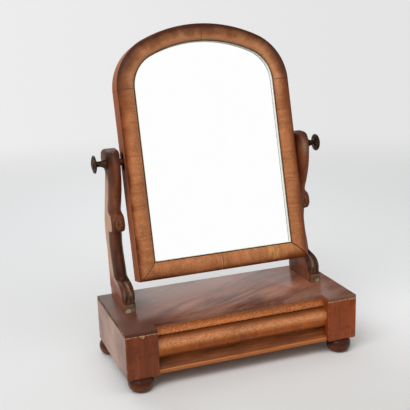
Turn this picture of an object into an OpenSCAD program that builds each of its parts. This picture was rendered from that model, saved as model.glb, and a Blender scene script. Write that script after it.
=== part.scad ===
// Toilet mirror: an arched glass in a rounded frame, hung on two mirror screws between scrolled uprights.
// It stands on a box base with square corner blocks, a half-round front moulding and four bun feet.
// Millimetres. +X is to the right, -Y is the front, +Z is up. The origin is on the floor, under the middle
// of the whole object: halfway across, and halfway from the front of the feet to the back of the tilted frame.

/* [Base] */
// How far the base reaches beyond the uprights at each end
base_over = 24; // [20:0.5:40]
// Depth of the base from the corner blocks' faces to the back
base_d = 207; // [196:1:230]
// Height of the base's box, without the feet
box_h = 88; // [82:1:110]
// Thickness of the top board
top_t = 6; // [5:0.5:9]
// Thickness of the two end panels
end_t = 12; // [10:0.5:14]
// Thickness of the back board
back_t = 10; // [8:0.5:12]
// Thickness of the bottom board
bottom_t = 8; // [6:0.5:10]
// Width of a front corner block
block_w = 60; // [52:1:66]
// How far the front between the blocks is set back from their faces
recess = 28.5; // [26:0.5:31]
// Thickness of the board that carries the front mouldings
front_t = 12; // [8:0.5:14]

/* [Front mouldings] */
// Radius of the half-round moulding
torus_r = 21.5; // [19:0.5:22.5]
// Height of the half-round's middle above the underside of the box
torus_rise = 45; // [43:0.5:47]
// How far the half-round's middle stands in front of the frieze's top edge
torus_out = 1; // [0:0.5:3]
// How far the frieze's lower lip stands out
frieze_lip = 8; // [5:0.5:10]
// Thickness of the frieze's lower lip
frieze_lip_t = 2.5; // [2:0.5:4]
// Radius of the frieze's cove
cove_r = 17.8; // [16:0.1:22]
// How far the plinth's lip stands out
plinth_lip = 21.5; // [18:0.5:24]
// Height of the plinth's upright edge
plinth_edge = 5.5; // [4:0.5:8]
// Width of the fillet on the plinth's lip
plinth_fillet = 4.5; // [3:0.5:6]
// Thickness of the mouldings behind the frieze's top edge
moulding_back = 9; // [7:0.5:11]

/* [Feet] */
// Height of a bun foot
foot_h = 27; // [22:0.5:32]
// Largest radius of a bun foot
foot_r = 23.5; // [20:0.5:25]
// Height of a bun foot's widest ring
foot_belly = 15.5; // [13:0.5:18]
// Radius of a bun foot where it meets the box
foot_neck_r = 17; // [14:0.5:19]
// Radius of the flat that a bun foot stands on
foot_pad_r = 13; // [10:0.5:15]
// Front foot's centre, in from the end of the base
front_foot_in = 28.5; // [25:0.5:32]
// Front foot's centre, back from the block's face
front_foot_back = 16; // [14:0.5:20]
// Rear foot's centre, in from the end of the base
rear_foot_in = 18.5; // [18:0.5:24]
// Rear foot's centre, forward from the back of the base
rear_foot_fwd = 18; // [17:0.5:24]
// Radius of a foot's spigot
spigot_r = 5.5; // [4.5:0.5:6]
// Depth of a foot's spigot in its block
spigot_depth = 16; // [12:1:20]

/* [Uprights] */
// Thickness of an upright
upright_t = 25.5; // [21:0.5:28]
// Space between the mirror frame and each upright
side_gap = 7; // [5.5:0.5:12]
// Height of the pivot above the top board
pivot_rise = 271; // [266:1:290]
// How far the pivot stands behind the middle of the base
pivot_back = 60.5; // [54:0.5:66]
// How far the toe reaches in front of the middle of the base
toe_reach = 8; // [4:0.5:12]
// Length of an upright's foot along the board, toe to heel
foot_len = 98; // [92:1:104]
// Height of the toe block
toe_h = 12; // [9:0.5:15]
// Depth of the shaft, front to back
shaft_d = 46; // [42:0.5:50]
// Height of the carved knee's lower edge above the board
knee_rise = 141; // [134:1:150]
// Length of the carved knee
knee_len = 33; // [28:1:38]
// How far the carved knee stands out from the shaft below it
knee_out = 12; // [8:0.5:16]
// Reach of the head in front of the pivot
head_front = 29.5; // [25:0.5:33]
// Reach of the head's curl behind the pivot
head_back = 41; // [36:0.5:45]
// Height of the head above the pivot
head_rise = 25; // [22:0.5:30]
// Depth of an upright's rounded nose
nose = 28; // [20:0.5:30]
// Rounding of an upright's back corners
back_round = 3; // [1:0.5:5]

/* [Mirror frame] */
// Width of the frame
frame_w = 347; // [330:1:380]
// Height of the frame above the pivot
frame_up = 246; // [240:1:252]
// Height of the frame below the pivot
frame_down = 224.5; // [218:0.5:232]
// Height of the arch above its springing
arch_rise = 116; // [110:1:128]
// Radius of the arch's shoulders
shoulder_r = 99; // [88:1:108]
// Width of the frame's moulding
moulding_w = 34; // [31:0.5:37]
// Depth of the frame's flat side in front of the pivot
side_fwd = 18.7; // [16:0.1:21]
// Depth of the frame's flat side behind the pivot
side_back = 17.7; // [16:0.1:20]
// Height of the rounded face above the flat side
crown = 9.3; // [7:0.1:11]
// Width of the thin lip at the sight edge
lip_w = 1.5; // [1:0.1:2.5]
// Height of the thin lip above the flat side
lip_up = 1.5; // [1:0.1:2.5]
// Backwards tilt of the mirror as it stands
rest_tilt = 14.6; // [10:0.1:18]

/* [Glass and back] */
// Thickness of the glass
glass_t = 3.5; // [3:0.1:4.5]
// How far the glass lies behind the flat side's front edge
glass_set = 4.7; // [4:0.1:6]
// How far the glass reaches behind the moulding
glass_lap = 7; // [5:0.5:8]
// Clearance round the glass
glass_gap = 0.5; // [0.3:0.1:1]
// Thickness of the backboard
backboard_t = 6; // [5:0.5:8]
// Width of the frame's back that the backboard leaves bare
back_margin = 12; // [10:0.5:14]
// Clearance round the backboard
backboard_gap = 0.3; // [0.2:0.1:0.6]
// Side of a glass wedge
wedge_side = 7; // [5:0.5:8]
// Length of a glass wedge
wedge_len = 40; // [30:1:46]
// Length of the short wedge at the crown
crown_wedge_len = 18; // [14:1:22]
// Depth of a glass wedge behind the glass
wedge_deep = 10.5; // [8:0.5:12]

/* [Mirror screws] */
// Diameter of a mirror screw
screw_d = 8; // [6:0.5:9]
// Running clearance of a mirror screw in its holes, on the radius
running = 0.08; // [0.04:0.01:0.1]
// Depth of the mirror screw in the frame's side
screw_in = 18; // [14:0.5:20]
// Radius of the knob's disc
knob_r = 16.8; // [15:0.1:19]
// Thickness of the knob's disc
knob_t = 8.5; // [7:0.5:10]
// Radius of the disc's rounded rim
rim_r = 2.5; // [2:0.1:3]
// Length of the knob's neck
neck_len = 6.5; // [5:0.5:9]
// Radius of the knob's neck
neck_r = 5.3; // [5:0.1:6.5]
// Radius of the knob's collar against the upright
collar_r = 12; // [10:0.5:14]
// Length of the knob's collar
collar_len = 12; // [9:0.5:14]
// Radius of the spacer between upright and frame
spacer_r = 6.5; // [6:0.1:8]
// Length of the brass plate in the frame's side
plate_len = 36; // [34:1:44]
// Width of the brass plate
plate_w = 14; // [12:0.5:16]
// Thickness of the brass plate
plate_t = 2.5; // [2:0.1:3.5]

/* [Small screws] */
// Radius of a wood screw's shank
shank_r = 2; // [1.5:0.1:2.4]
// Radius of a wood screw's head
head_r = 4; // [3.5:0.1:4.5]
// Length of the screws that hold the uprights
upright_screw_len = 44; // [38:1:50]
// Distance of the rear one from the upright's heel
upright_screw_edge = 20; // [14:1:28]
// Distance between the two screws of an upright
upright_screw_pitch = 48; // [36:1:54]
// Length of the screws that hold the backboard
back_screw_len = 14; // [11:0.5:16]
// Length of the screws that hold the brass plates
plate_screw_len = 13; // [9:0.5:15]
// Clearance of a small screw in its hole, on the radius
screw_gap = 0.05; // [0.02:0.01:0.1]

/* [Inside] */
// Thickness of the bearers under the uprights
bearer_t = 14; // [10:0.5:18]
// Width of the bearers
bearer_w = 34; // [30:1:38]
// Side of the blocks that take the rear feet
rear_block = 32; // [31:0.5:38]
// Height of the blocks that take the rear feet
rear_block_h = 44; // [36:1:52]
// Side of a triangular glue block
glue_side = 16; // [12:0.5:20]
// Length of a glue block
glue_len = 44; // [36:1:56]
// Distance between two glue blocks
glue_pitch = 92; // [75:1:110]

/* [Hidden] */

$fn = 64;
cut = 1;
seat = 0.2;
end_room = 0.5;
quirk = 1;

// Heights of the base
box_z = foot_h;
top_z = foot_h + box_h;
under_top = top_z - top_t;

// Depths, counted from the middle of the whole object: the base, the pivot and the uprights' feet
reach_front = base_d / 2 - front_foot_back + foot_r;
reach_back = pivot_back + frame_up * sin(rest_tilt) + side_back * cos(rest_tilt);
middle_y = (reach_front - reach_back) / 2;
front_y = middle_y - base_d / 2;
back_y = middle_y + base_d / 2;
back_in = back_y - back_t;
pivot_y = middle_y + pivot_back;
toe_y = middle_y - toe_reach;
heel_y = toe_y + foot_len;

// Planes of the front between the blocks
edge_y = front_y + recess;
carrier_y = edge_y + moulding_back;
front_back = carrier_y + front_t;
torus_y = edge_y - torus_out;
torus_z = box_z + torus_rise;

// Places across: the mirror sets the uprights, and they set the base
inner_x = frame_w / 2 + side_gap;
outer_x = inner_x + upright_t;
mid_x = inner_x + upright_t / 2;
pivot_z = top_z + pivot_rise;
half_w = outer_x + base_over;
inner_w = half_w - end_t;
front_span = half_w - block_w;

// Arch of the frame: one crown arc between two shoulder arcs
half_frame = frame_w / 2;
spring_up = frame_up - arch_rise;
arm = half_frame - shoulder_r;
over_arc = arch_rise - shoulder_r;
crown_v = spring_up - (arm * arm - over_arc * over_arc) / (2 * over_arc);
crown_r = frame_up - crown_v;
shoulder_a = atan2(spring_up - crown_v, arm);

// Planes of the frame's section, counted forward from the pivot
glass_front = side_fwd - glass_set;
glass_back = glass_front - glass_t;
board_front = -side_back + backboard_t;
rebate_u = moulding_w - glass_lap;

bore_r = screw_d / 2 + running;

// Mirrors a right-hand piece to the left
module left() {
    mirror([1, 0, 0])
        children();
}

// Stands an outline given as [depth, height] on its edge and runs it along X
module along_x(length) {
    translate([-length / 2, 0, 0])
        rotate([90, 0, 90])
            linear_extrude(height = length)
                children();
}

// A countersunk wood screw, point up, with its head's face at the origin
module wood_screw(length, gap = 0) {
    point = 2 * shank_r;
    rotate_extrude()
        polygon([
            [0, -gap], [head_r + gap, -gap], [head_r + gap, 0.6],
            [shank_r + gap, head_r - shank_r + 0.6],
            [shank_r + gap, length - point],
            [0.4, length + gap], [0, length + gap]]);
}

// Base

module top_board() {
    color("rosybrown")
    difference() {
        translate([-half_w, front_y, under_top])
            cube([2 * half_w, base_d, top_t]);
        translate([-front_span, front_y - cut, under_top - cut])
            cube([2 * front_span, recess + cut, top_t + 2 * cut]);
        upright_screw_holes();
    }
}

module end_panel() {
    color("sienna")
    translate([inner_w, front_back, box_z])
        cube([end_t, back_y - front_back, box_h - top_t]);
}

module back_board() {
    color("peru")
    translate([-inner_w, back_in, box_z])
        cube([2 * inner_w, back_t, box_h - top_t]);
}

module bottom_board() {
    color("tan")
    difference() {
        translate([-inner_w, front_back, box_z])
            cube([2 * inner_w, back_in - front_back, bottom_t]);
        for (side = [-1, 1])
            translate([side * (half_w - rear_foot_in), back_y - rear_foot_fwd, box_z - cut])
                cylinder(r = spigot_r + screw_gap, h = bottom_t + 2 * cut);
    }
}

module corner_block() {
    color("saddlebrown")
    difference() {
        translate([front_span, front_y, box_z])
            cube([block_w, front_back - front_y, box_h - top_t]);
        translate([half_w - front_foot_in, front_y + front_foot_back, box_z - cut])
            cylinder(r = spigot_r + screw_gap, h = spigot_depth + end_room + cut);
    }
}

module front_board() {
    color("burlywood")
    translate([-front_span, carrier_y, box_z])
        cube([2 * front_span, front_t, box_h - top_t]);
}

// A shallow cove that runs out to a thin lip over the half-round
module frieze_moulding() {
    low = torus_z + torus_r;
    lip = edge_y - frieze_lip;
    color("chocolate")
    along_x(2 * front_span)
        difference() {
            polygon([
                [carrier_y, low], [edge_y, low], [lip, low + quirk], [lip, low + frieze_lip_t],
                [edge_y, under_top], [carrier_y, under_top]]);
            translate([edge_y - quirk - cove_r, low + cove_r])
                circle(r = cove_r, $fn = 96);
        }
}

module half_round_moulding() {
    color("chocolate")
    along_x(2 * front_span)
        translate([torus_y, torus_z])
            union() {
                intersection() {
                    circle(r = torus_r, $fn = 96);
                    translate([-torus_r, -torus_r])
                        square([torus_r, 2 * torus_r]);
                }
                translate([0, -torus_r])
                    square([carrier_y - torus_y, 2 * torus_r]);
            }
}

// A weathered slope over an upright edge
module plinth_moulding() {
    high = torus_z - torus_r;
    lip = edge_y - plinth_lip;
    lip_z = box_z + plinth_edge;
    color("chocolate")
    along_x(2 * front_span)
        polygon([
            [carrier_y, box_z], [lip, box_z], [lip, lip_z], [lip + quirk, lip_z + quirk],
            [lip + plinth_fillet, lip_z + 2 * quirk], [edge_y - 4 * quirk, high - 3 * quirk],
            [edge_y - 3 * quirk, high], [carrier_y, high]]);
}

module bearer() {
    color("burlywood")
    difference() {
        translate([mid_x - bearer_w / 2, front_back, under_top - bearer_t])
            cube([bearer_w, back_in - front_back, bearer_t]);
        upright_screw_holes();
    }
}

module rear_corner_block() {
    color("burlywood")
    difference() {
        translate([inner_w - rear_block, back_in - rear_block, box_z + bottom_t])
            cube([rear_block, rear_block, rear_block_h]);
        translate([half_w - rear_foot_in, back_y - rear_foot_fwd, box_z + bottom_t - cut])
            cylinder(r = spigot_r + screw_gap, h = spigot_depth + end_room + cut);
    }
}

// Triangular blocks rubbed into the corners under the top board
module glue_block() {
    along_x(glue_len)
        polygon([[0, 0], [glue_side, 0], [0, -glue_side]]);
}

module glue_blocks() {
    color("burlywood")
    for (x = [-glue_pitch, 0, glue_pitch]) {
        translate([x, front_back, under_top])
            glue_block();
        translate([x, back_in, under_top])
            mirror([0, 1, 0])
                glue_block();
    }
}

// Feet

// Half section of a bun, as quarter waves below and above its widest ring
function bun(steps = 12) = [
    for (i = [0 : steps])
        let (
            z = foot_h * i / steps,
            low = z < foot_belly,
            reach = low ? (foot_belly - z) / foot_belly : (z - foot_belly) / (foot_h - foot_belly),
            end_r = low ? foot_pad_r : foot_neck_r)
        [end_r + (foot_r - end_r) * sqrt(1 - reach * reach), z]];

module bun_foot(into) {
    color("saddlebrown")
    rotate_extrude($fn = 72)
        polygon(concat(
            [[0, 0]],
            bun(),
            [[spigot_r, foot_h], [spigot_r, foot_h + into - 1], [spigot_r - 1, foot_h + into],
             [0, foot_h + into]]));
}

module front_foot() {
    translate([half_w - front_foot_in, front_y + front_foot_back, 0])
        bun_foot(spigot_depth);
}

module rear_foot() {
    translate([half_w - rear_foot_in, back_y - rear_foot_fwd, 0])
        bun_foot(bottom_t + spigot_depth);
}

// Uprights

// The upright's side view, from the board up: height, front, back, half thickness, depth of the nose.
// The foot hangs on toe and heel, the knee on its own height, and the head on the pivot.
half_t = upright_t / 2;
head_y = pivot_y - head_front;
curl_y = pivot_y + head_back;
head_top = pivot_rise + head_rise;
bow_back = heel_y + 12;
bow_front = bow_back - shaft_d - 4;
knee_front = bow_front - knee_out;
knee_top = knee_rise + knee_len;
SIDE = [
    [0, toe_y, heel_y - 2, half_t - 1.6, 1.5],
    [toe_h - 2, toe_y - 0.5, heel_y, half_t - 1.6, 2],
    [toe_h + 1, toe_y + 3, heel_y, half_t - 1.6, 4],
    [toe_h + 8, toe_y + 3, heel_y, half_t - 0.6, 7],
    [toe_h + 18, toe_y + 2, heel_y - 2, half_t, 9],
    [toe_h + 25, toe_y + 5, heel_y - 2, half_t, 10],
    [toe_h + 31, toe_y + 11, heel_y - 2, half_t, 11],
    [toe_h + 35, toe_y + 20, heel_y - 1, half_t, 13],
    [toe_h + 38, toe_y + 32, heel_y - 1, half_t, 18],
    [toe_h + 42, toe_y + 40, heel_y, half_t, 24],
    [knee_rise - 76, bow_front - 17, heel_y + 1, half_t, nose],
    [knee_rise - 56, bow_front - 9, heel_y + 3, half_t, nose],
    [knee_rise - 40, bow_front - 3, heel_y + 5, half_t, nose],
    [knee_rise - 22, bow_front, bow_back - 1, half_t, nose],
    [knee_rise - 3, bow_front - 1, bow_back, half_t, nose],
    [knee_rise - 1, knee_front + 7, bow_back, half_t, 14],
    [knee_rise + 3, knee_front + 1, bow_back, half_t, 8],
    [knee_rise + 12, knee_front - 1, bow_back - 1, half_t + 0.3, 6],
    [knee_top - 12, knee_front, bow_back - 3, half_t + 0.3, 7],
    [knee_top - 4, knee_front + 3, bow_back - 4, half_t, 9],
    [knee_top, knee_front + 8, bow_back - 5, half_t, 18],
    [knee_top + 5, knee_front + 8, bow_back - 7, half_t, nose],
    [knee_top + 26, head_y + 10, head_y + shaft_d + 12, half_t, nose],
    [pivot_rise - 36, head_y + 1, head_y + shaft_d + 1, half_t, nose],
    [pivot_rise - 19, head_y, head_y + shaft_d - 4, half_t, nose],
    [pivot_rise - 8, head_y, curl_y - 14, half_t, nose],
    [pivot_rise + 3, head_y + 2, curl_y, half_t, nose],
    [head_top - 12, head_y + 6, curl_y - 2, half_t, nose - 4],
    [head_top - 5, head_y + 13, curl_y - 10, half_t - 1.5, 16],
    [head_top - 1.2, head_y + 24, curl_y - 20, half_t - 4.5, 8],
    [head_top, head_y + 34, curl_y - 28, half_t - 7.5, 4]];

// Slope of a column at a row, kept between its neighbours so that the curve never overshoots
function rate(i, c) = (SIDE[i + 1][c] - SIDE[i][c]) / (SIDE[i + 1][0] - SIDE[i][0]);
function slope(i, c) =
    i <= 0 || i >= len(SIDE) - 1 ? 0
    : rate(i - 1, c) * rate(i, c) <= 0 ? 0
    : 2 * rate(i - 1, c) * rate(i, c) / (rate(i - 1, c) + rate(i, c));

// A column between row i and the next, at share t of the way
function eased(i, t, c) =
    let (
        gap = SIDE[i + 1][0] - SIDE[i][0],
        a = SIDE[i][c],
        b = SIDE[i + 1][c])
    a + (b - a) * t * t * (3 - 2 * t)
    + gap * (slope(i, c) * t * (1 - t) * (1 - t) - slope(i + 1, c) * t * t * (1 - t));

// One level slice: a rectangle with a rounded nose in front and small round corners behind
function corner(cx, cy, rx, ry, from, steps) = [
    for (k = [0 : steps])
        let (a = from + 90 * k / steps)
        [cx + rx * cos(a), cy + ry * sin(a)]];
function slice(front, back, half, deep) =
    let (rf = min(deep, half - 0.4), rb = min(back_round, half - 0.4))
    concat(
        corner(half - rb, back - rb, rb, rb, 0, 2),
        corner(-half + rb, back - rb, rb, rb, 90, 2),
        corner(-half + rf, front + deep, rf, deep, 180, 4),
        corner(half - rf, front + deep, rf, deep, 270, 4));
SLICES = [
    for (i = [0 : len(SIDE) - 2])
        for (t = [0, 0.5])
            concat([SIDE[i][0] + t * (SIDE[i + 1][0] - SIDE[i][0])],
                [for (c = [1 : 4]) eased(i, t, c)])];
LEVELS = concat(SLICES, [SIDE[len(SIDE) - 1]]);

module scroll_body() {
    rings = [for (l = LEVELS) [for (p = slice(l[1], l[2], l[3], l[4])) [p[0], p[1], l[0]]]];
    count = len(rings[0]);
    last = len(rings) - 1;
    points = [for (ring = rings) for (p = ring) p];
    walls = [
        for (j = [0 : last - 1])
            for (k = [0 : count - 1])
                let (n = (k + 1) % count)
                each [
                    [j * count + k, (j + 1) * count + k, (j + 1) * count + n],
                    [j * count + k, (j + 1) * count + n, j * count + n]]];
    polyhedron(
        points = points,
        faces = concat(
            [[for (k = [0 : count - 1]) k]],
            walls,
            [[for (k = [0 : count - 1]) last * count + count - 1 - k]]),
        convexity = 6);
}

// Wood screws that come up through bearer and top board into the upright's foot
rear_screw_y = heel_y - upright_screw_edge;
SCREW_PLACES = [rear_screw_y - upright_screw_pitch, rear_screw_y];

module upright_screw_holes() {
    for (side = [-1, 1])
        for (y = SCREW_PLACES)
            translate([side * mid_x, y, under_top - bearer_t])
                wood_screw(upright_screw_len, screw_gap);
}

module upright_screws() {
    color("darkgoldenrod")
    for (side = [-1, 1])
        for (y = SCREW_PLACES)
            translate([side * mid_x, y, under_top - bearer_t])
                wood_screw(upright_screw_len);
}

module upright() {
    color("saddlebrown")
    difference() {
        translate([mid_x, 0, top_z])
            scroll_body();
        translate([inner_x - cut, pivot_y, pivot_z])
            rotate([0, 90, 0])
                cylinder(r = bore_r, h = upright_t + 2 * cut);
        upright_screw_holes();
    }
}

// Mirror frame, drawn upright round the pivot and then tilted back

module tilted() {
    translate([0, pivot_y, pivot_z])
        rotate([-rest_tilt, 0, 0])
            children();
}

// Section of every frame member: first figure inwards from the outer edge, second figure forwards
face_span = moulding_w - lip_w;
face_r = (face_span * face_span / 4 + crown * crown) / (2 * crown);

module member_section() {
    difference() {
        union() {
            translate([0, -side_back])
                square([moulding_w, side_back + side_fwd]);
            translate([0, side_fwd])
                square([moulding_w, lip_up]);
            intersection() {
                translate([face_span / 2, side_fwd + crown - face_r])
                    circle(r = face_r, $fn = 128);
                translate([0, side_fwd - cut])
                    square([face_span, crown + 2 * cut]);
            }
        }
        difference() {
            translate([-cut, side_fwd])
                square([face_span / 2, lip_up + cut]);
            translate([face_span / 2, side_fwd + crown - face_r])
                circle(r = face_r, $fn = 128);
        }
        translate([rebate_u, -side_back - cut])
            square([moulding_w, side_back + cut + glass_front]);
        translate([back_margin, -side_back - cut])
            square([moulding_w, backboard_t + cut]);
    }
}

// Turns the section so that it can be revolved round an arc's centre or run along a side
module facing_arc(radius) {
    translate([radius, 0])
        mirror([1, 0])
            member_section();
}

module stile_blank(from, to) {
    translate([half_frame, 0, from])
        linear_extrude(height = to - from)
            rotate(180)
                member_section();
}

module rail_blank() {
    translate([-half_frame, 0, -frame_down])
        rotate([90, 0, 90])
            linear_extrude(height = frame_w)
                rotate(90)
                    member_section();
}

// The wedge of space that a mitred corner leaves to the stile
module mitre_side() {
    reach = frame_w;
    past = 2 * moulding_w;
    translate([half_frame, reach / 2, -frame_down])
        rotate([90, 0, 0])
            linear_extrude(height = reach)
                polygon([[0, 0], [cut, -cut], [reach, 0], [reach, 2 * reach],
                    [-past, 2 * reach], [-past, past]]);
}

module plate_pocket() {
    translate([half_frame - plate_t, 0, 0])
        rotate([0, 90, 0])
            plate_outline(plate_t + cut, 0.1);
    translate([half_frame - screw_in - 2, 0, 0])
        rotate([0, 90, 0])
            cylinder(r = screw_d / 2 + 0.5, h = screw_in + 2);
}

module plate_outline(height, gap) {
    round_r = plate_w / 2 + gap;
    straight = plate_len / 2 - plate_w / 2;
    for (end = [-1, 1])
        translate([end * straight, 0, 0])
            cylinder(r = round_r, h = height);
    translate([-straight, -round_r, 0])
        cube([2 * straight, 2 * round_r, height]);
}

module plate_screw_set(gap) {
    for (end = [-1, 1])
        translate([half_frame, 0, end * (plate_len / 2 - plate_w / 2)])
            rotate([0, -90, 0])
                wood_screw(plate_screw_len, gap);
}

// Places of the backboard's screws: up the stiles, along the rail and round the arch
screw_line = back_margin + (rebate_u - back_margin) / 2;
SIDE_SCREW_RISES = [-frame_down + 50, -40, spring_up - 10];
RAIL_SCREW_X = 78;
SHOULDER_SCREW_A = 45;

module back_screw_set(gap) {
    turn_r = shoulder_r - screw_line;
    for (side = [-1, 1]) {
        for (v = SIDE_SCREW_RISES)
            back_screw_at(side * (half_frame - screw_line), v, gap);
        back_screw_at(side * RAIL_SCREW_X, -frame_down + screw_line, gap);
        back_screw_at(
            side * (arm + turn_r * cos(SHOULDER_SCREW_A)),
            spring_up + turn_r * sin(SHOULDER_SCREW_A),
            gap);
    }
    back_screw_at(0, frame_up - screw_line, gap);
}

module back_screw_at(x, v, gap) {
    translate([x, side_back, v])
        rotate([90, 0, 0])
            wood_screw(back_screw_len, gap);
}

module stile() {
    color("peru")
    tilted()
        difference() {
            intersection() {
                stile_blank(-frame_down, spring_up);
                mitre_side();
            }
            plate_pocket();
            plate_screw_set(screw_gap);
            back_screw_set(screw_gap);
        }
}

module bottom_rail() {
    color("peru")
    tilted()
        difference() {
            rail_blank();
            mitre_side();
            left()
                mitre_side();
            back_screw_set(screw_gap);
        }
}

// Both arcs start from the face where crown and shoulder meet, so they join without a step
module arch() {
    color("peru")
    tilted()
        difference() {
            rotate([90, 0, 0])
                translate([0, crown_v, 0])
                    rotate([0, 0, shoulder_a])
                        translate([crown_r, 0, 0])
                            union() {
                                translate([-crown_r, 0, 0])
                                    rotate_extrude(angle = 90 - shoulder_a, $fn = 360)
                                        facing_arc(crown_r);
                                translate([-shoulder_r, 0, 0])
                                    mirror([0, 1, 0])
                                        rotate_extrude(angle = shoulder_a, $fn = 180)
                                            facing_arc(shoulder_r);
                            }
            back_screw_set(screw_gap);
        }
}

// The frame's outline, drawn in by an inset on every side
module arched_shape(inset) {
    reach = 2 * crown_r;
    translate([-half_frame + inset, -frame_down + inset])
        square([2 * (half_frame - inset), frame_down - inset + spring_up]);
    for (side = [-1, 1])
        translate([side * arm, spring_up])
            circle(r = shoulder_r - inset, $fn = 180);
    intersection() {
        translate([0, crown_v])
            circle(r = crown_r - inset, $fn = 360);
        polygon([
            [-arm, spring_up - cut], [arm, spring_up - cut], [arm, spring_up],
            [reach * cos(shoulder_a), crown_v + reach * sin(shoulder_a)],
            [-reach * cos(shoulder_a), crown_v + reach * sin(shoulder_a)],
            [-arm, spring_up]]);
    }
}

// A sheet of the frame's outline, from one depth to another, counted forward from the pivot
module arched_sheet(inset, from, to) {
    translate([0, -from, 0])
        rotate([90, 0, 0])
            linear_extrude(height = to - from)
                arched_shape(inset);
}

module mirror_glass() {
    color("lightsteelblue")
    tilted()
        arched_sheet(rebate_u + glass_gap, glass_back, glass_front);
}

module backboard() {
    color("burlywood")
    tilted()
        difference() {
            arched_sheet(back_margin + backboard_gap, -side_back, board_front);
            back_screw_set(screw_gap);
        }
}

module backboard_screws() {
    color("darkgoldenrod")
    tilted()
        back_screw_set(0);
}

// A wedge that holds the glass forward: a triangle against the rebate's wall, running along Z
module wedge(length) {
    translate([0, 0, -length / 2])
        linear_extrude(height = length)
            polygon([[0, -glass_back], [-wedge_side, -glass_back], [0, -glass_back + wedge_deep]]);
}

// Heights of the stiles' wedges and places of the rail's, counted from the pivot
STILE_WEDGE_RISES = [-150, -50, 60];
RAIL_WEDGE_X = 70;

module glass_wedges() {
    color("burlywood")
    tilted() {
        for (side = [0, 1])
            mirror([side, 0, 0])
                for (v = STILE_WEDGE_RISES)
                    translate([half_frame - rebate_u, 0, v])
                        wedge(wedge_len);
        for (x = [-RAIL_WEDGE_X, RAIL_WEDGE_X])
            translate([x, 0, -frame_down + rebate_u])
                rotate([0, 90, 0])
                    wedge(wedge_len);
        translate([0, 0, frame_up - rebate_u - seat])
            rotate([0, -90, 0])
                wedge(crown_wedge_len);
    }
}

// Mirror screws

module pivot_plate() {
    color("goldenrod")
    tilted()
        difference() {
            translate([half_frame - plate_t, 0, 0])
                rotate([0, 90, 0])
                    plate_outline(plate_t, 0);
            translate([half_frame - plate_t - cut, 0, 0])
                rotate([0, 90, 0])
                    cylinder(r = bore_r, h = plate_t + 2 * cut);
            plate_screw_set(screw_gap);
        }
}

module pivot_plate_screws() {
    color("darkgoldenrod")
    tilted() {
        plate_screw_set(0);
        left()
            plate_screw_set(0);
    }
}

module spacer() {
    color("dimgray")
    translate([half_frame, pivot_y, pivot_z])
        rotate([0, 90, 0])
            difference() {
                cylinder(r = spacer_r, h = side_gap - seat);
                translate([0, 0, -cut])
                    cylinder(r = bore_r, h = side_gap + 2 * cut);
            }
}

// The turned knob: collar against the upright, neck, and a domed disc
rod_in_knob = collar_len + neck_len;

module mirror_screw() {
    color("darkgoldenrod")
    translate([half_frame - screw_in, pivot_y, pivot_z])
        rotate([0, 90, 0])
            rotate_extrude()
                polygon([
                    [0, 0], [screw_d / 2 - 1, 0], [screw_d / 2, 1],
                    [screw_d / 2, screw_in + side_gap + upright_t + seat + rod_in_knob],
                    [0, screw_in + side_gap + upright_t + seat + rod_in_knob]]);
}

module knob() {
    disc = collar_len + neck_len;
    flat_r = knob_r - rim_r;
    rim_z = disc + rim_r + 0.5;
    face_z = rim_z + rim_r;
    band = 1.5;
    dome = [for (a = [0 : 15 : 90]) [flat_r + rim_r * cos(a), rim_z + rim_r * sin(a)]];
    face = [for (s = [0.75, 0.5, 0.25, 0]) [flat_r * s, face_z + (disc + knob_t - face_z) * (1 - s * s)]];
    bell = [
        for (s = [0 : 0.2 : 1])
            [collar_r - 1 + (neck_r - collar_r + 1) * (1 - pow(1 - s, 1.8)), band + (collar_len - band) * s]];
    color("dimgray")
    translate([outer_x + seat, pivot_y, pivot_z])
        rotate([0, 90, 0])
            difference() {
                rotate_extrude($fn = 72)
                    polygon(concat(
                        [[0, 0], [collar_r, 0], [collar_r, 1.2]],
                        bell,
                        [[neck_r, disc - 2], [neck_r + 2.5, disc - 0.3], [knob_r - 3, disc + 1.2],
                         [knob_r - 0.4, disc + 2.2]],
                        dome, face));
                translate([0, 0, -cut])
                    cylinder(r = screw_d / 2 + screw_gap, h = rod_in_knob + cut);
            }
}

top_board();
left() end_panel();  // left_end_panel
end_panel();  // right_end_panel
back_board();
bottom_board();
left() corner_block();  // left_corner_block
corner_block();  // right_corner_block
front_board();
frieze_moulding();
half_round_moulding();
plinth_moulding();
left() bearer();  // left_bearer
bearer();  // right_bearer
left() rear_corner_block();  // left_rear_block
rear_corner_block();  // right_rear_block
glue_blocks();
left() front_foot();  // front_left_foot
front_foot();  // front_right_foot
left() rear_foot();  // rear_left_foot
rear_foot();  // rear_right_foot
left() upright();  // left_upright
upright();  // right_upright
upright_screws();
left() stile();  // left_stile
stile();  // right_stile
bottom_rail();
left() arch();  // left_arch
arch();  // right_arch
mirror_glass();
glass_wedges();
backboard();
backboard_screws();
left() pivot_plate();  // left_pivot_plate
pivot_plate();  // right_pivot_plate
pivot_plate_screws();
left() spacer();  // left_spacer
spacer();  // right_spacer
left() mirror_screw();  // left_mirror_screw
left() knob();  // left_knob
mirror_screw();  // right_mirror_screw
knob();  // right_knob
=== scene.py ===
"""The dressed toilet mirror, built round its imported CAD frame. Lengths are in metres."""
import math

import bmesh
import bpy
import numpy as np
from bpy.props import FloatProperty, FloatVectorProperty, PointerProperty
from mathutils import Matrix, Vector, noise


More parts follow.
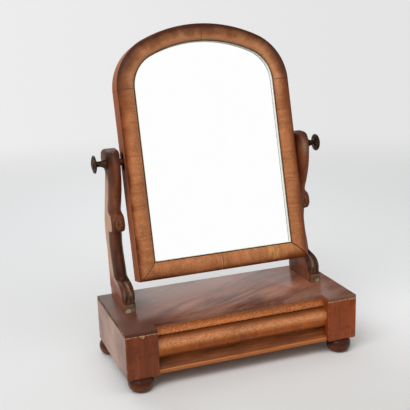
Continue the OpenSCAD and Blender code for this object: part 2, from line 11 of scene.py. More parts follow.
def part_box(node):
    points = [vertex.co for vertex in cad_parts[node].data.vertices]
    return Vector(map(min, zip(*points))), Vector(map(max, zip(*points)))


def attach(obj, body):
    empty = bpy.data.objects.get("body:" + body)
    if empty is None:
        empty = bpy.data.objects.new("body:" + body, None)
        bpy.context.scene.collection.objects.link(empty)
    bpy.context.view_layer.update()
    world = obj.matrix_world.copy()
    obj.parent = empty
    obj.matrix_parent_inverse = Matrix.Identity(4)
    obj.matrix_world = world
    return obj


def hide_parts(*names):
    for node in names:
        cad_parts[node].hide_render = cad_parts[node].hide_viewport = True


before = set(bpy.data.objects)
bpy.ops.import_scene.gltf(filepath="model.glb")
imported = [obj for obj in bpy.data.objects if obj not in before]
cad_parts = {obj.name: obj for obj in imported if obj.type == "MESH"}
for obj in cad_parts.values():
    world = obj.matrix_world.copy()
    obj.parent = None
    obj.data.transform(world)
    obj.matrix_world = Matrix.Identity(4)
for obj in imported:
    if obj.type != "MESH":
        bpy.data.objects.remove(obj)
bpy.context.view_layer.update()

bl_info = {
    "name": "Toilet mirror",
    "version": (1, 0, 0),
    "blender": (4, 5, 0),
    "location": "3D View > Sidebar > Toilet mirror",
    "description": "Dresses the packed toilet mirror with its woods, glass, metal and wear",
    "category": "Object",
}

MM = 0.001
SIDES = {"left": -1, "right": 1}
FACE, SIDE, BACK, LIP = range(4)    # the finishes of a frame member, in the order below
FRAME_FINISHES = ("Cross-banded veneer", "Frame side", "Softwood, upright", "Sight lip")
CROWN_STEPS = 22                    # the steps of the frame's rounded face
SHOULDER_STEPS, PEAK_STEPS = 26, 20 # the steps of the arch's shoulder, and of its crown up to the middle
NOSE_FIRST, NOSE_STEPS = 19, 40     # the points of an upright's slice that lie on its nose
HALF_THICK = 12.75                  # half an upright's thickness, in mm
FLUTES_FROM, FLUTES_TO = 16.5, 51   # how high the carved flutes reach above the board, in mm
DRILL_REACH = 0.05                  # longer than an upright is thick
SHARP_EDGE = 0.0001                 # the rounding of a block's edge that isn't worn
BUMP_STRENGTH = 0.6

# Where a frame member's leaves start along the veneer, and what lies on the rail, from its middle
STILE_STARTS = {"left": 0.7, "right": 0.0}
ARCH_STARTS = {"left": 3.3, "right": 2.6}
RAIL_START = 1.9
RAIL_REACH = 0.2
MITRE, FAR_MITRE = 0.707, 0.26      # the distance to a mitre, as a share of that along the member
SPLICE_AT = -0.010
FLAME_AT = 0.097

JOINT_WIDTH = 0.0006
PLINTH_EDGE_SOFT = 0.0008
FLECK_X = -0.198                    # the large chip at the left block's top
CRACK_Y, CRACK_SWAY = -0.017, 0.006

# Shades of dirt and tarnish, and painted shade, shadow, light, sheen and highlight
JOINT_DARK = (0.012, 0.004, 0.002)
PORE_SHADE = (0.45, 0.38, 0.34)
VENEER_PATCH = (0.24, 0.088, 0.040)
VENEER_FAIR = (0.86, 0.44, 0.14)
# Painted light on the arch's inner slope
VENEER_INNER_PAINTED_LIGHT = (0.72, 0.33, 0.16)
VENEER_VERGE = (0.022, 0.006, 0.002)
VENEER_SEAM = (0.05, 0.014, 0.006)
VENEER_KNOT = (0.06, 0.018, 0.008)
PINE_DIRT = (0.16, 0.085, 0.042)
# Painted sheen of the top board near its front
BOARD_PAINTED_SHEEN_FRONT = (0.50, 0.255, 0.175)
BOARD_CORNER = (0.095, 0.018, 0.005)
BOARD_DUSK = ((0.085, 0.024, 0.012), (0.050, 0.024, 0.012))
BOARD_RIM = ((0.035, 0.014, 0.007), (0.26, 0.13, 0.06))
CRACK_DARK = (0.10, 0.045, 0.03)
# Painted highlight on the half-round
ROUND_PAINTED_HIGHLIGHT = (0.74, 0.355, 0.17)
# Painted shadow at the top of the plinth's slope
PLINTH_PAINTED_SHADOW = (0.05, 0.012, 0.004)
PLINTH_FACE = (0.52, 0.155, 0.036)
# Painted shade in the carving's hollows
HOLLOW_PAINTED_SHADE = (0.016, 0.008, 0.005)
HANDLED = (0.120, 0.056, 0.020)
BRASS_TARNISH = (0.16, 0.105, 0.045)
STEEL_TARNISH = (0.10, 0.075, 0.055)
SILVER_HAZE = (0.955, 0.970, 0.960)
# Painted shade of the floor towards the front
FLOOR_PAINTED_SHADE = (0.62, 0.61, 0.61)
FLOOR_UNSEEN = (0.12, 0.11, 0.11)
FLOOR_RADIUS, FLOOR_POINTS = 4, 64
STUDIO_LIGHT = (0.49, 0.48, 0.465)
WARM = (1.0, 0.975, 0.94)

# The camera: its place, its turn in degrees (yaw, pitch and roll) and its lens in mm
CAMERA_PLACE = (-0.53385, -1.35352, 0.6799)
CAMERA_TURN = (-20.3716, -14.8575, -1.6972)
CAMERA_SENSOR, CAMERA_LENS = 36, 69.44

# Lamps: name, place, target, width, height, power and tint
LAMPS = (
    ("Key", (-1.25, -0.95, 1.7), (0, 0, 0.30), 1.5, 1.5, 23, WARM),
    ("Top", (0.15, -0.85, 1.85), (0, 0, 0.10), 1.5, 0.9, 7.5, WARM),
    ("Back", (-0.5, 1.5, 1.6), (0, 0, 0.25), 1.6, 0.9, 14, (1, 1, 1)),
)


# Sizes and colours that a user would change


def length(label, text, metres):
    """A length property."""
    return FloatProperty(name=label, description=text, default=metres, min=0, precision=4, unit="LENGTH")


def colour(label, text, *rgb):
    """A colour property."""
    return FloatVectorProperty(name=label, description=text, default=rgb, size=3, min=0, max=1,
                               subtype="COLOR")


class ToiletMirrorSizes(bpy.types.PropertyGroup):
    """Sizes of the pieces that are made here, as in the CAD model where it has them."""

    tilt: FloatProperty(name="Tilt", description="How far the mirror leans back as it stands",
                        default=math.radians(14.6), subtype="ANGLE")
    frame_up: length("Frame above pivot", "Height of the frame above the pivot", 0.246)
    frame_down: length("Frame below pivot", "Height of the frame below the pivot", 0.2245)
    spring_up: length("Springing", "Height of the arch's springing above the pivot", 0.130)
    shoulder_r: length("Shoulder radius", "Radius of the arch's shoulders", 0.099)
    moulding_w: length("Moulding width", "Width of the frame's moulding", 0.034)
    side_fwd: length("Side in front", "Depth of the frame's flat side in front of the pivot", 0.0187)
    side_back: length("Side behind", "Depth of the frame's flat side behind the pivot", 0.0177)
    crown: length("Crown", "Height of the rounded face above the flat side", 0.0093)
    lip_w: length("Lip width", "Width of the thin lip at the sight edge", 0.0015)
    lip_up: length("Lip height", "Height of the thin lip above the flat side", 0.0015)
    glass_set: length("Glass set", "How far the glass lies behind the flat side's front edge", 0.0047)
    glass_lap: length("Glass lap", "How far the glass reaches behind the moulding", 0.007)
    backboard_t: length("Backboard", "Thickness of the backboard", 0.006)
    back_margin: length("Back margin", "Width of the frame's back that the backboard leaves bare", 0.012)
    leaf: length("Veneer leaf", "Length of one leaf of the cross-banded veneer", 0.052)
    worn: length("Worn edge", "Rounding of the base's worn edges", 0.0009)
    nose: length("Nose", "Depth of an upright's rounded nose", 0.028)
    flute: length("Flutes", "Depth of the carved flutes", 0.0014)
    screw_bore: length("Screw bore", "Radius of the holes for the mirror screws", 0.0042)
    spigot_bore: length("Spigot bore", "Radius of the holes for the feet's spigots", 0.0056)
    spigot: length("Spigot", "Depth of the holes for the feet's spigots", 0.018)
    recess: length("Recess", "Depth of the notch between the corner blocks", 0.0285)
    plinth_edge: length("Plinth edge", "Height of the plinth's upright edge", 0.0055)
    plan_round: length("Plan corner", "Rounding of the top board's corners in plan", 0.0015)
    block_round: length("Block corner", "Rounding of a corner block's lower corners", 0.0034)


class ToiletMirrorColours(bpy.types.PropertyGroup):
    """Colours of the finishes."""

    board_dark: colour("Board, dark", "Dark figure of the top board", 0.050, 0.010, 0.004)
    board_light: colour("Board, light", "Light figure of the top board", 0.150, 0.038, 0.017)
    side_dark: colour("End panel, dark", "Dark figure of the faded end panels", 0.145, 0.060, 0.036)
    side_light: colour("End panel, light", "Light figure of the faded end panels", 0.31, 0.160, 0.105)
    block_dark: colour("Block, dark", "Dark grain of the corner blocks", 0.120, 0.024, 0.007)
    block_light: colour("Block, light", "Light grain of the corner blocks", 0.29, 0.070, 0.021)
    moulding_dark: colour("Moulding, dark", "Dark grain of the front mouldings", 0.175, 0.037, 0.005)
    moulding_light: colour("Moulding, light", "Light grain of the front mouldings", 0.56, 0.136, 0.014)
    # Painted sheen: grey-pink patches that stand in for the board's reflection of the backdrop
    board_painted_sheen: colour("Board, grey", "Grey-pink sheen patches of the top board", 0.52, 0.190, 0.085)
    # Pale clouds of the end panels: part faded wood, part painted sheen
    side_fade_and_sheen: colour("End panel, pale", "Pale clouds of the end panels", 0.56, 0.35, 0.265)
    right_block_dark: colour("Right block, dark", "Dark grain of the right block", 0.165, 0.030, 0.006)
    right_block_light: colour("Right block, light", "Light grain of the right block", 0.42, 0.088, 0.018)
    # Worn speckles on the cove, and the painted highlight along the plinth's lip
    moulding_wear_and_highlight: colour("Moulding, worn", "Worn and pale parts of the front mouldings", 0.66, 0.31, 0.15)
    plinth_dark: colour("Plinth, dark", "Dark streaks of the plinth's slope", 0.105, 0.028, 0.007)
    plinth_light: colour("Plinth, light", "Light grain of the plinth's slope", 0.46, 0.135, 0.034)
    veneer_dark: colour("Veneer, dark", "Dark grain of the frame's veneer", 0.27, 0.080, 0.022)
    veneer_light: colour("Veneer, light", "Light grain of the frame's veneer", 0.72, 0.285, 0.112)
    flame: colour("Flame", "Yellow flame in the veneer", 0.74, 0.37, 0.15)
    rim: colour("Rim", "Darkened outer slope of the frame", 0.055, 0.013, 0.004)
    stile_rim: colour("Stile rim", "Outer slope of the frame's stiles", 0.215, 0.052, 0.010)
    frame_side_dark: colour("Frame side, dark", "Dark grain of the frame's flat sides", 0.20, 0.052, 0.020)
    frame_side_light: colour("Frame side, light", "Light grain of the frame's flat sides", 0.50, 0.165, 0.075)
    lip_dark: colour("Sight lip, dark", "Dark grain of the lip at the glass", 0.040, 0.028, 0.011)
    lip_light: colour("Sight lip, light", "Light grain of the lip at the glass", 0.20, 0.145, 0.062)
    carved_dark: colour("Carving, dark", "Dark grain of the carved uprights", 0.052, 0.013, 0.005)
    carved_light: colour("Carving, light", "Light grain of the carved uprights", 0.185, 0.058, 0.024)
    # Painted sheen on the uprights' outer sides
    outer_painted_sheen: colour("Bloom", "Pale bloom on faded outer faces", 0.60, 0.34, 0.215)
    foot_side: colour("Foot, outer side", "Reddish outer side of an upright's foot", 0.24, 0.066, 0.030)
    rubbed: colour("Rubbed ridges", "Ridges of the carving rubbed bare", 0.22, 0.150, 0.100)
    turned_dark: colour("Turning, dark", "Dark grain of the feet and spacers", 0.032, 0.008, 0.003)
    turned_light: colour("Turning, light", "Light grain of the feet and spacers", 0.215, 0.056, 0.012)
    chipped: colour("Chips", "Pale chips at the foot of the uprights", 0.40, 0.35, 0.24)
    # Pale stripe painted on the lip's inner wall next to the glass: a painted reflection of the mirror's
    # white
    lip_painted_reflection: colour("Sight edge", "Pale dusty edge next to the glass", 0.88, 0.88, 0.86)
    pine_dark: colour("Pine, dark", "Dark grain of the softwood", 0.24, 0.125, 0.052)
    pine_light: colour("Pine, light", "Light grain of the softwood", 0.52, 0.34, 0.17)
    bare: colour("Bare wood", "Wood laid bare where the polish has worn off", 0.62, 0.40, 0.19)
    black: colour("Blackened wood", "Near-black wood of the knobs", 0.012, 0.006, 0.004)
    brass: colour("Brass", "Aged brass of the pivot plates", 0.55, 0.40, 0.17)
    steel: colour("Steel", "Dull steel of the screws", 0.32, 0.29, 0.26)
    silver: colour("Silver", "Tint of the silvered glass", 0.985, 0.990, 0.985)
    floor: colour("Floor", "Pale studio floor", 0.775, 0.795, 0.82)
    backdrop: colour("Backdrop", "Pale studio backdrop", 0.845, 0.845, 0.845)


def sizes():
    """The sizes as they are set now."""
    return bpy.context.scene.toilet_mirror_sizes


def colours():
    """The colours as they are set now."""
    return bpy.context.scene.toilet_mirror_colours


# Node helpers


class Field:
    """A node's output that takes plain arithmetic, each step a node of the same tree."""

    def __init__(self, socket):
        self.socket = socket
        self.tree = socket.id_data

    def __add__(self, other):
        return calc("ADD", self, other)

    def __sub__(self, other):
        return calc("SUBTRACT", self, other)

    def __rsub__(self, other):
        return calc("SUBTRACT", other, self)

    def __mul__(self, other):
        return calc("MULTIPLY", self, other)

    def __truediv__(self, other):
        return calc("DIVIDE", self, other)

    __radd__, __rmul__ = __add__, __mul__


class Outputs:
    """A node's outputs as fields, by name or number, or all in turn."""

    def __init__(self, node):
        self.node = node

    def __getitem__(self, key):
        return Field(self.node.outputs[key])

    def __iter__(self):
        return map(Field, self.node.outputs)


def feed(socket, value):
    """Links a socket to the field that feeds it, or sets its value."""
    if isinstance(value, Field):
        value.tree.links.new(value.socket, socket)
    elif socket.type == "RGBA":
        socket.default_value = (*value[:3], 1)
    else:
        socket.default_value = value


def add(tree, kind, inputs=None, **settings):
    """Adds a node with its settings and its inputs, each a value or a field, and gives its outputs."""
    node = tree.nodes.new(kind)
    for key, value in settings.items():
        setattr(node, key, value)
    for key, value in (inputs or {}).items():
        feed(node.inputs[key], value)
    return Outputs(node)


def after(kind, inputs, **settings):
    """Adds a node to the tree of the fields that feed it."""
    tree = next(value.tree for value in inputs.values() if isinstance(value, Field))
    return add(tree, kind, inputs, **settings)


def calc(operation, a, b=0.0, clamp=False):
    """One step of arithmetic."""
    return after("ShaderNodeMath", {0: a, 1: b}, operation=operation, use_clamp=clamp)[0]


def most(a, b):
    """The larger of two values."""
    return calc("MAXIMUM", a, b)


def least(a, b):
    """The smaller of two values."""
    return calc("MINIMUM", a, b)


def vector_calc(operation, a, b=(0, 0, 0)):
    """One step of vector arithmetic."""
    return after("ShaderNodeVectorMath", {0: a, 1: b}, operation=operation)[0]


def split(vector):
    """The three parts of a vector."""
    return after("ShaderNodeSeparateXYZ", {0: vector})


def joined(x, y=0.0, z=0.0):
    """A vector from its three parts."""
    return after("ShaderNodeCombineXYZ", {0: x, 1: y, 2: z})[0]


def mixed(factor, a, b, mode="MIX"):
    """Two colours mixed."""
    return after("ShaderNodeMix", {0: factor, 6: a, 7: b}, data_type="RGBA", blend_type=mode)[2]


def layered(base, *layers):
    """A colour with layers laid over it, each a mask and a colour."""
    for mask, tint in layers:
        base = mixed(mask, base, tint)
    return base


def shaded(tint, tone):
    """A colour made darker or lighter by a tone."""
    return mixed(1.0, tint, joined(tone, tone, tone), "MULTIPLY")


def ramp(value, low, high, start=0.0, end=1.0):
    """A value taken smoothly from one range to another."""
    return after("ShaderNodeMapRange", {"Value": value, "From Min": low, "From Max": high, "To Min": start,
                                        "To Max": end}, interpolation_type="SMOOTHSTEP")[0]


def level_band(height, level, half, soft):
    """A mask round one level: 1 within half of it, fading out over soft."""
    return ramp(calc("ABSOLUTE", height - level), half, half + soft, 1.0, 0.0)


def cloud(vector, scale, detail=2.0, rough=0.5, distortion=0.0):
    """Noise between 0 and 1."""
    return after("ShaderNodeTexNoise", {"Vector": vector, "Scale": scale, "Detail": detail,
                                        "Roughness": rough, "Distortion": distortion})["Fac"]


def patches(vector, scale, low, high, detail=3, rough=0.7, distortion=0.0):
    """Noise cut to patches: 0 where it is under low, 1 where it is over high."""
    return ramp(cloud(vector, scale, detail, rough, distortion), low, high)


def mapped(place, turn=(0, 0, 0), stretch=(1, 1, 1), shift=(0, 0, 0)):
    """Coordinates turned in degrees, stretched and shifted."""
    return after("ShaderNodeMapping", {"Vector": place, "Location": shift,
                                       "Rotation": [math.radians(a) for a in turn], "Scale": stretch})[0]


def held(place, name):
    """A value that the mesh holds at its points."""
    return add(place.tree, "ShaderNodeAttribute", attribute_name=name)["Fac"]


def on_member(place):
    """How far a place is along a frame member's veneer, and how far round its section."""
    uv = split(add(place.tree, "ShaderNodeTexCoord")["UV"])
    return uv[0], uv[1]


def node_group(name, takes, gives):
    """A shader node group's inputs as fields, and the function that feeds its outputs by name."""
    tree = bpy.data.node_groups.new(name, "ShaderNodeTree")
    for label, default in takes.items():
        kind = "Vector" if default is None else "Color" if isinstance(default, tuple) else "Float"
        socket = tree.interface.new_socket(label, in_out="INPUT", socket_type="NodeSocket" + kind)
        if default is not None:
            socket.default_value = (*default, 1) if kind == "Color" else default
    for label, kind in gives.items():
        tree.interface.new_socket(label, in_out="OUTPUT", socket_type="NodeSocket" + kind)
    leave = tree.nodes.new("NodeGroupOutput")

    def give(**fields):
        for label, field in fields.items():
            feed(leave.inputs[label], field)

    return add(tree, "NodeGroupInput"), give


def placed_group(name, labels, values):
    """Places a node group with its inputs and gives its outputs."""
    return after("ShaderNodeGroup", dict(zip(labels, values)), node_tree=bpy.data.node_groups[name])


def wood_grain(*values):
    """Wood grain from coordinates, dark and light colour, fibres, figure, contrast and pores."""
    labels = ("Vector", "Dark", "Light", "Fibres", "Figure", "Contrast", "Pores")
    return placed_group("Wood Grain", labels, values)


def old_polish(*values):
    """Old polish from coordinates, size of its clouds, and roughness where smooth and where dull."""
    return placed_group("Old Polish", ("Vector", "Size", "Smooth", "Dull"), values)


# Shared effects


def make_wood_grain():
    """Wood whose grain runs along Z: fibres, broad figure and dark pores."""
    entry, give = node_group(
        "Wood Grain",
        {"Vector": None, "Dark": (0.1, 0.03, 0.01), "Light": (0.3, 0.1, 0.04), "Fibres": 320.0,
         "Figure": 16.0, "Contrast": 1.0, "Pores": 0.5},
        {"Color": "Color", "Tone": "Float", "Height": "Float"})
    fibre_space = vector_calc("MULTIPLY", entry["Vector"], (1, 1, 0.045))
    figure_space = vector_calc("MULTIPLY", entry["Vector"], (1, 1, 0.22))
    fibres = cloud(fibre_space, entry["Fibres"], 4, 0.62, 0.25)
    figure = cloud(figure_space, entry["Figure"], 3, 0.55, 1.1)
    streaks = cloud(fibre_space, entry["Fibres"] * 0.22, 2, 0.5, 0.6)
    pores = ramp(cloud(fibre_space, entry["Fibres"] * 3.4, 1), 0.60, 0.74) * entry["Pores"]
    mean = fibres * 0.30 + figure * 0.40 + streaks * 0.30
    tone = calc("ADD", (mean - 0.5) * (entry["Contrast"] * 3.2), 0.5, clamp=True)
    wood = mixed(tone, entry["Dark"], entry["Light"])
    give(Color=mixed(pores, wood, mixed(1.0, wood, PORE_SHADE, "MULTIPLY")), Tone=tone,
         Height=fibres * 0.35 - pores)


def make_edge_wear():
    """A mask along the edges of a box, given by its corners, broken up by noise."""
    entry, give = node_group(
        "Edge Wear", {"Vector": None, "Low": None, "High": None, "Width": 0.002, "Breaks": 90.0},
        {"Wear": "Float"})
    from_low = vector_calc("SUBTRACT", entry["Vector"], entry["Low"])
    from_high = vector_calc("SUBTRACT", entry["High"], entry["Vector"])
    a, b, c = split(vector_calc("ABSOLUTE", vector_calc("MINIMUM", from_low, from_high)))
    middle = most(least(a, b), least(most(a, b), c))
    reach = entry["Width"] * ramp(cloud(entry["Vector"], entry["Breaks"], 4, 0.65), 0.42, 0.72, 0.02, 1.6)
    give(Wear=calc("SUBTRACT", 1.0, middle / reach, clamp=True))


def make_old_polish():
    """Clouded and rubbed polish: blotches for colour and an uneven roughness."""
    entry, give = node_group(
        "Old Polish", {"Vector": None, "Size": 14.0, "Smooth": 0.25, "Dull": 0.5},
        {"Clouding": "Float", "Roughness": "Float"})
    blotches = patches(entry["Vector"], entry["Size"], 0.35, 0.68, 4, 0.6, 0.4)
    rubbed = cloud(entry["Vector"], entry["Size"] * 6.0, 3, 0.6)
    span = entry["Dull"] - entry["Smooth"]
    give(Clouding=blotches, Roughness=entry["Smooth"] + span * (blotches * 0.65 + rubbed * 0.35))


def make_veneer_leaves():
    """Leaves of cross-banded veneer laid one after the other, each cut from its own place in the wood."""
    entry, give = node_group(
        "Veneer Leaves", {"Along": 0.0, "Across": 0.0, "Leaf": 0.05},
        {"Vector": "Vector", "Shade": "Float", "Seam": "Float"})
    steps = entry["Along"] / entry["Leaf"] + cloud(joined(entry["Along"]), 9) * 0.5
    number = calc("FLOOR", steps)
    part = calc("FRACT", steps)
    pick = after("ShaderNodeTexWhiteNoise", {"W": number}, noise_dimensions="1D")["Value"]
    slanted = entry["Along"] + entry["Across"] * ((pick - 0.5) * 0.16)
    give(Vector=joined(slanted, number * 0.37, entry["Across"] * 0.30), Shade=pick,
         Seam=1.0 - ramp(least(part, 1.0 - part), 0.0, 0.012))


# Materials


def finish(name):
    """A finish by its name."""
    return bpy.data.materials[name]


def material(name, view_colour):
    """A new material's Principled shader, and the piece's own coordinates."""
    made = bpy.data.materials.new(name)
    made.use_nodes = True
    made.diffuse_color = (*view_colour[:3], 1)
    return made.node_tree.nodes["Principled BSDF"], add(made.node_tree, "ShaderNodeTexCoord")["Object"]


def coat_with(shader, base, rough, height=None, depth=0.2, **constants):
    """Feeds the shader. Height is bump in parts of a millimetre, and depth its size in millimetres."""
    inputs = {"Base_Color": base, "Roughness": rough, **constants}
    if height is not None:
        bump = {"Height": height, "Strength": BUMP_STRENGTH, "Distance": depth * MM}
        inputs["Normal"] = after("ShaderNodeBump", bump)[0]
    for label, value in inputs.items():
        feed(shader.inputs[label.replace("_", " ")], value)


def polished_wood(name, dark, light, turn=(0, 0, 0), shift=(0, 0, 0), fibres=320.0, figure=16.0,
                  contrast=1.0, smooth=0.28, dull=0.50, wear=None, coat=0.08, specular=0.26, extra=None,
                  dulling=None):
    """A polished wood in the piece's own space. Wear is a box's two corners and its worn edges' width."""
    shader, place = material(name, light)
    grain = wood_grain(mapped(place, turn, shift=shift), dark, light, fibres, figure, contrast, 0.5)
    polish = old_polish(vector_calc("ADD", place, shift), 14.0, smooth, dull)
    base, rough = grain["Color"], polish["Roughness"]
    if wear:
        worn = placed_group("Edge Wear", ("Vector", "Low", "High", "Width"), (place, *wear))["Wear"]
        base = mixed(worn * 0.75, base, colours().bare)
    if extra:
        base = extra(place, base)
    if dulling:
        mask = dulling(place)
        rough = rough + mask * 0.35
        coat = (1.0 - mask) * coat
    coat_with(shader, base, rough, grain["Height"], 0.12, Coat_Weight=coat, Coat_Roughness=0.18,
              Specular_IOR_Level=specular)


def joint_lines(base, strength):
    """Darkens a piece along its joints, from the distance that its mesh holds."""
    line = 1.0 - ramp(held(base, "joint"), JOINT_WIDTH * 0.4, JOINT_WIDTH * 1.6)
    return mixed(line * strength, base, JOINT_DARK)


def make_frame_veneer():
    """Cross-banded veneer of the frame's face: fine grain across the width, darker on the outer slope from
    old polish and painted shade, and painted light on the arch's inner slope.
    """
    c, s = colours(), sizes()
    shader, place = material("Cross-banded veneer", c.veneer_light)
    along, girth = on_member(place)
    x, _, z = split(place)
    side = s.side_fwd + s.side_back
    springing = PIVOT.z + s.spring_up
    leaves = placed_group("Veneer Leaves", ("Along", "Across", "Leaf"), (along, girth, s.leaf))
    grain = wood_grain(leaves["Vector"], c.veneer_dark, c.veneer_light, 520.0, 60.0, 0.52, 0.7)
    polish = old_polish(place, 22.0, 0.26, 0.48)
    shade = ramp(leaves["Shade"], 0.0, 1.0, 0.86, 1.04)
    shade = shade * ramp(z, springing - 0.12, springing + 0.02, 1.0, 0.72)
    on_rail = calc("GREATER_THAN", along, RAIL_START - RAIL_REACH) * calc(
        "LESS_THAN", along, RAIL_START + RAIL_REACH)
    flame = level_band(along, RAIL_START + FLAME_AT, 0.005, 0.012) * patches(
        leaves["Vector"], 90, 0.38, 0.60, 3, 0.6, 1.5)
    fair = most(ramp(along, RAIL_START, RAIL_START + 0.10, 0.0, 0.22), flame) * on_rail
    up = ramp(z, springing - 0.05, springing + 0.05)
    # Outer slope: old polish darkening with painted shade, widest on the arch and the right stile
    right = ramp(x, 0.08, 0.15) * (1.0 - up)
    wide = ramp(z, springing - 0.16, springing + 0.05) + right * 0.70
    across = girth + (polish["Clouding"] - 0.5) * 0.006
    # Painted light: the arch's inner slope, which faces down, is lightened and reddened
    inner = ramp(across, side + 0.020, side + 0.032, 0.0, 0.60) * up
    outer = ramp(across, side + 0.001 + wide * 0.007, side + 0.014 + wide * 0.014, 1.0, 0.0)
    verge = ramp(across, side, side + 0.006, 1.0, 0.0) * ramp(up, 0.0, 1.0, 0.60, 0.85)
    splice = level_band(along, RAIL_START + SPLICE_AT, 0.00025, 0.0005) * on_rail
    beside = level_band(along, RAIL_START + SPLICE_AT - 0.0016, 0.0004, 0.0012) * on_rail
    base = layered(
        shaded(grain["Color"], shade),
        (patches(place, 34, 0.46, 0.68, 5, 0.68, 0.3) * 0.60, VENEER_PATCH),
        (fair * 0.50, VENEER_FAIR),
        (patches(leaves["Vector"], 330, 0.46, 0.64) * 0.36, c.veneer_dark),
        (patches(place, 430, 0.56, 0.68) * 0.55, c.flame),
        (inner, VENEER_INNER_PAINTED_LIGHT),
        # Outer slope and its verge: old polish darkening, with painted shade
        (outer * 0.95, mixed(up, c.stile_rim, c.rim)),
        (verge, VENEER_VERGE),
        (leaves["Seam"] * 0.30, VENEER_SEAM),
        (patches(place, 95, 0.750, 0.785, 1, 0.5) * 0.8, VENEER_KNOT),
        (beside * 0.35, c.flame),
        (splice * 0.85, JOINT_DARK))
    base = joint_lines(base, ramp(outer * up, 0.0, 1.0, 0.85, 0.25))
    coat_with(shader, base, polish["Roughness"], grain["Height"], 0.10,
              Coat_Weight=ramp(outer, 0.0, 1.0, 0.16, 0.02), Coat_Roughness=0.18, Specular_IOR_Level=0.12)


def make_frame_side():
    """The frame's flat sides: long-grained, reddish, with rubbed polish."""
    c, s = colours(), sizes()
    shader, place = material("Frame side", c.frame_side_light)
    along, girth = on_member(place)
    grain = wood_grain(joined(girth, 0.3, along), c.frame_side_dark, c.frame_side_light, 480, 20, 0.8, 0.5)
    polish = old_polish(place, 18.0, 0.38, 0.62)
    arris = s.side_back + s.side_fwd
    rubbed = ramp(girth, arris - 0.0025, arris) * ramp(polish["Clouding"], 0.2, 0.9, 0.05, 0.40)
    base = joint_lines(mixed(rubbed, grain["Color"], c.veneer_light), 0.35)
    coat_with(shader, base, polish["Roughness"], grain["Height"], 0.12, Specular_IOR_Level=0.08)


def make_lip():
    """The thin lip at the glass, dark on top, with a pale stripe painted on its inner wall where it meets the
    glass, a painted reflection that blends it into the mirror's white.
    """
    c = colours()
    outline, kinds = frame_section()
    edge = running_length(outline)[max(k for k, kind in enumerate(kinds) if kind == LIP)]

    # Painted reflection: the deep part of the lip's wall turns pale next to the glass
    def painted_glass_reflection(place, base):
        return mixed(ramp(on_member(place)[1], edge + 0.0012, edge + 0.0024), base, c.lip_painted_reflection)

    polished_wood("Sight lip", c.lip_dark, c.lip_light, fibres=500, coat=0.0, specular=0.15, extra=painted_glass_reflection)


def make_pine(name, turn, shift):
    """Old softwood: broad growth rings, darkened and dusty."""
    c = colours()
    shader, place = material(name, c.pine_light)
    grain = wood_grain(mapped(place, turn, shift=shift), c.pine_dark, c.pine_light, 150.0, 9.0, 1.25, 0.15)
    polish = old_polish(place, 10.0, 0.62, 0.85)
    base = mixed(polish["Clouding"] * 0.35, grain["Color"], PINE_DIRT)
    coat_with(shader, base, polish["Roughness"], grain["Height"], 0.25, Specular_IOR_Level=0.2)


def make_board_finish():
    """The top board: slanting grey-pink streaks of painted sheen, a painted reflection of the pale backdrop,
    darker and redder at the front left, its edge dark.
    """
    c = colours()
    low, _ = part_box("top_board")

    def corner(x, y):
        near = ramp(x, low.x, low.x + 0.16, 1.0, 0.0) + ramp(y, low.y, low.y + 0.12, 1.0, 0.0)
        return ramp(near, 0.75, 1.7)

    def dull(place):
        x, y, _ = split(place)
        end = most(ramp(x, low.x + 0.001, low.x + 0.002, 1.0, 0.0),
                   ramp(x, low.x + 0.02, low.x + 0.11, 0.55, 0.0))
        return most(corner(x, y) * 0.9, end)

    def streaks(place, base):
        x, y, _ = split(place)
        slanted = vector_calc("MULTIPLY", mapped(place, (0, 0, -25), shift=(0.3, 0.1, 0)), (0.45, 2.6, 1))
        # Painted sheen: slanting grey-pink patches in place of the backdrop's reflection, weaker near the
        # front
        inland = ramp(y - low.y, 0.0, 0.08, 0.70, 1.0) * ramp(x, -0.16, 0.06, 0.46, 0.74)
        sheen = patches(slanted, 10, 0.28, 0.60, 4, 0.62, 0.25) * (inland * ramp(x, 0.08, 0.17, 1.0, 0.66))
        return layered(
            base,
            (sheen, mixed(ramp(y, low.y + 0.02, low.y + 0.13), BOARD_PAINTED_SHEEN_FRONT, c.board_painted_sheen)),
            (corner(x, y) * 0.92, BOARD_CORNER),
            (ramp(x, low.x + 0.04, low.x + 0.14, 0.80, 0.0), mixed(ramp(y, -0.02, 0.07), *BOARD_DUSK)),
            (1.0 - ramp(x - low.x, 0.0002, 0.0008), mixed(patches(place, 120, 0.50, 0.60), *BOARD_RIM)))

    polished_wood("Figured board", c.board_dark, c.board_light, (90, -65, 0), (0.3, 0.2, 0.1), 260, 18, 0.75,
                  0.26, 0.42, coat=0.64, specular=0.34, extra=streaks, dulling=dull)


